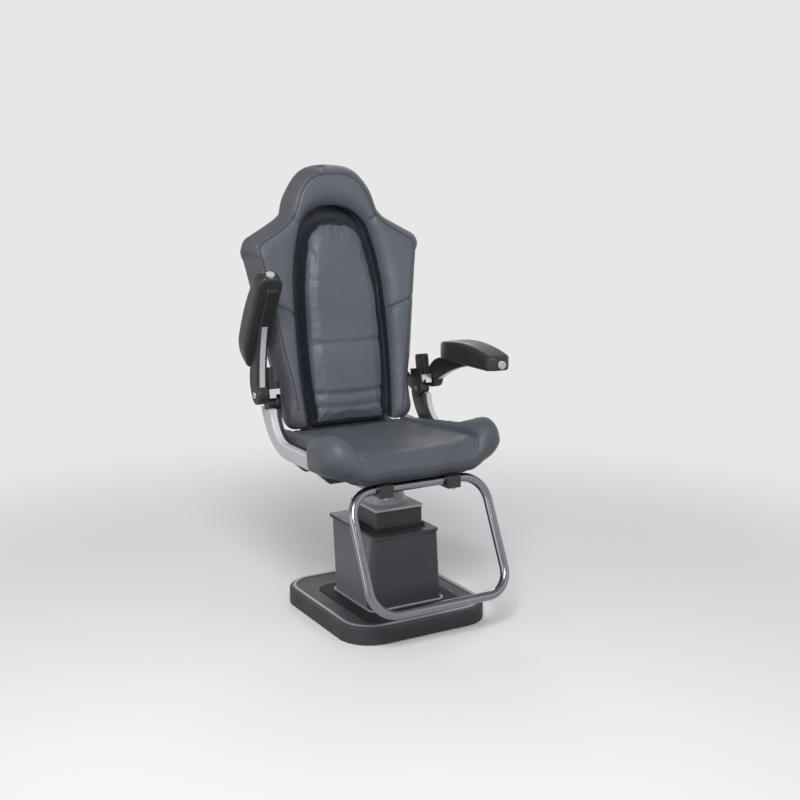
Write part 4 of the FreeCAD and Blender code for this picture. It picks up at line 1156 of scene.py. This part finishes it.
def open_pocket(pad, button, axis):
    """Presses the walls and the floor of an arm pad's pocket away from its button."""
    across = np.array((1.0, 0.0, 0.0))
    directions = np.array((across, axis, np.cross(across, axis)))
    turned = button @ directions.T
    middle = (turned.min(0) + turned.max(0)) / 2 @ directions
    points = points_of(pad.data)
    offset = points - middle
    along = offset @ axis
    radial = offset - along[:, None] * axis
    size = np.maximum(np.linalg.norm(radial, axis=1), 1e-6)
    outwards = pocket_radius - size
    inwards = pocket_depth - along
    pocket = (outwards > 0) & (inwards > 0) & (along > pocket_mouth)
    wall = pocket & (outwards <= inwards)
    bottom = pocket & (outwards > inwards)
    points[wall] += radial[wall] / size[wall][:, None] * outwards[wall][:, None]
    points[bottom] += inwards[bottom][:, None] * axis
    set_points(pad.data, points)


def make_arms():
    for side in ("left", "right"):
        body = f"{side}_arm"
        node = f"{side}_arm_pad"
        pad = moulded(node, f"{node}_foam", cell=0.003, rounds=14, growth=0.0012)
        button = points_of(frame["nodes"][f"{side}_arm_button"].data)
        axis = np.array(joints[f"{side}_button_press"]["axis"], float)
        open_pocket(pad, button, axis)
        place(pad, body, pad_black, "black_plastic", node)
        node = f"{side}_arm_neck"
        neck = moulded(node, f"{node}_cast", cell=0.0024, rounds=8, growth=0.0006)
        place(neck, body, black, "black_plastic", node)


# Stage


def make_camera():
    data = bpy.data.cameras.new("camera")
    data.lens = camera_lens
    camera = bpy.data.objects.new("camera", data)
    camera.location = camera_place
    camera.rotation_euler = (math.radians(90 - camera_tilt), 0, math.radians(-camera_turn))
    bpy.context.scene.collection.objects.link(camera)
    bpy.context.scene.camera = camera


def make_light(name, where, size, power):
    data = bpy.data.lights.new(name, "AREA")
    data.shape = "DISK"
    data.size = size
    data.energy = power
    lamp = bpy.data.objects.new(name, data)
    lamp.location = where
    lamp.rotation_euler = (aim_point - where).to_track_quat("-Z", "Y").to_euler()
    bpy.context.scene.collection.objects.link(lamp)


def grey(level):
    return (level, level, level, 1)


def make_world():
    """One level of light on the chair, and a paler backdrop for what the camera sees."""
    world = bpy.data.worlds.new("studio")
    bpy.context.scene.world = world
    world.use_nodes = True
    tree = world.node_tree
    tree.nodes.clear()
    output = tree.nodes.new("ShaderNodeOutputWorld")
    mix = tree.nodes.new("ShaderNodeMixShader")
    ambient = tree.nodes.new("ShaderNodeBackground")
    ambient.inputs["Strength"].default_value = ambient_strength
    ambient.inputs["Color"].default_value = ambient_color
    shown = tree.nodes.new("ShaderNodeBackground")
    path = tree.nodes.new("ShaderNodeLightPath")
    seen = tree.nodes.new("ShaderNodeMath")
    more = tree.nodes.new("ShaderNodeMath")
    for node in (seen, more):
        node.operation = "ADD"
        node.use_clamp = True
    direction = tree.nodes.new("ShaderNodeTexCoord")
    parts = tree.nodes.new("ShaderNodeSeparateXYZ")
    ramp = tree.nodes.new("ShaderNodeValToRGB")
    horizon, zenith = ramp.color_ramp.elements
    horizon.position = horizon_end
    horizon.color = grey(background_level)
    zenith.position = zenith_start
    zenith.color = grey(zenith_level)
    link = tree.links.new
    link(direction.outputs["Generated"], parts.inputs["Vector"])
    link(parts.outputs["Z"], ramp.inputs["Fac"])
    link(ramp.outputs["Color"], shown.inputs["Color"])
    link(path.outputs["Is Camera Ray"], seen.inputs[0])
    link(path.outputs["Is Glossy Ray"], seen.inputs[1])
    link(seen.outputs[0], more.inputs[0])
    link(path.outputs["Is Transmission Ray"], more.inputs[1])
    link(more.outputs[0], mix.inputs["Fac"])
    link(ambient.outputs["Background"], mix.inputs[1])
    link(shown.outputs["Background"], mix.inputs[2])
    link(mix.outputs["Shader"], output.inputs["Surface"])


def make_floor():
    """A round floor that fades into the backdrop away from the chair."""
    bm = bmesh.new()
    bmesh.ops.create_circle(bm, cap_ends=True, segments=96, radius=floor_radius)
    floor = from_bmesh("floor", bm)
    floor.location.z = -floor_drop
    material = bpy.data.materials.new("floor")
    material.use_nodes = True
    tree = material.node_tree
    tree.nodes.clear()
    output = tree.nodes.new("ShaderNodeOutputMaterial")
    mix = tree.nodes.new("ShaderNodeMixShader")
    ground = tree.nodes.new("ShaderNodeBsdfDiffuse")
    glow = tree.nodes.new("ShaderNodeEmission")
    glow.inputs["Color"].default_value = grey(background_level)
    path = tree.nodes.new("ShaderNodeLightPath")
    where = tree.nodes.new("ShaderNodeTexCoord")
    length = tree.nodes.new("ShaderNodeVectorMath")
    length.operation = "LENGTH"
    fade = tree.nodes.new("ShaderNodeMapRange")
    fade.interpolation_type = "SMOOTHERSTEP"
    fade.inputs["From Min"].default_value = floor_fade_start
    fade.inputs["From Max"].default_value = floor_fade_end
    faded = tree.nodes.new("ShaderNodeMath")
    faded.operation = "MULTIPLY"
    seen = tree.nodes.new("ShaderNodeMath")
    seen.operation = "ADD"
    seen.use_clamp = True
    tint = tree.nodes.new("ShaderNodeMix")
    tint.data_type = "RGBA"
    tint.inputs[6].default_value = floor_color
    tint.inputs[7].default_value = grey(floor_bounce)
    link = tree.links.new
    link(path.outputs["Is Diffuse Ray"], tint.inputs[0])
    link(tint.outputs[2], ground.inputs["Color"])
    link(where.outputs["Object"], length.inputs[0])
    link(length.outputs["Value"], fade.inputs["Value"])
    link(path.outputs["Is Camera Ray"], seen.inputs[0])
    link(path.outputs["Is Glossy Ray"], seen.inputs[1])
    link(fade.outputs["Result"], faded.inputs[0])
    link(seen.outputs[0], faded.inputs[1])
    link(faded.outputs[0], mix.inputs["Fac"])
    link(ground.outputs["BSDF"], mix.inputs[1])
    link(glow.outputs["Emission"], mix.inputs[2])
    link(mix.outputs["Shader"], output.inputs["Surface"])
    floor.data.materials.append(material)


make_camera()
make_world()
make_light("key", key_place, key_size, key_power)
make_light("fill", fill_place, fill_size, fill_power)
make_light("side", side_place, side_size, side_power)
make_light("rim", rim_place, rim_size, rim_power)
make_floor()
bpy.context.scene.view_settings.view_transform = "Standard"

make_seat()
surround = make_surround()
make_back_piping(surround)
make_shade_lining()
make_centre()
make_hoop()
dress()
make_arms()
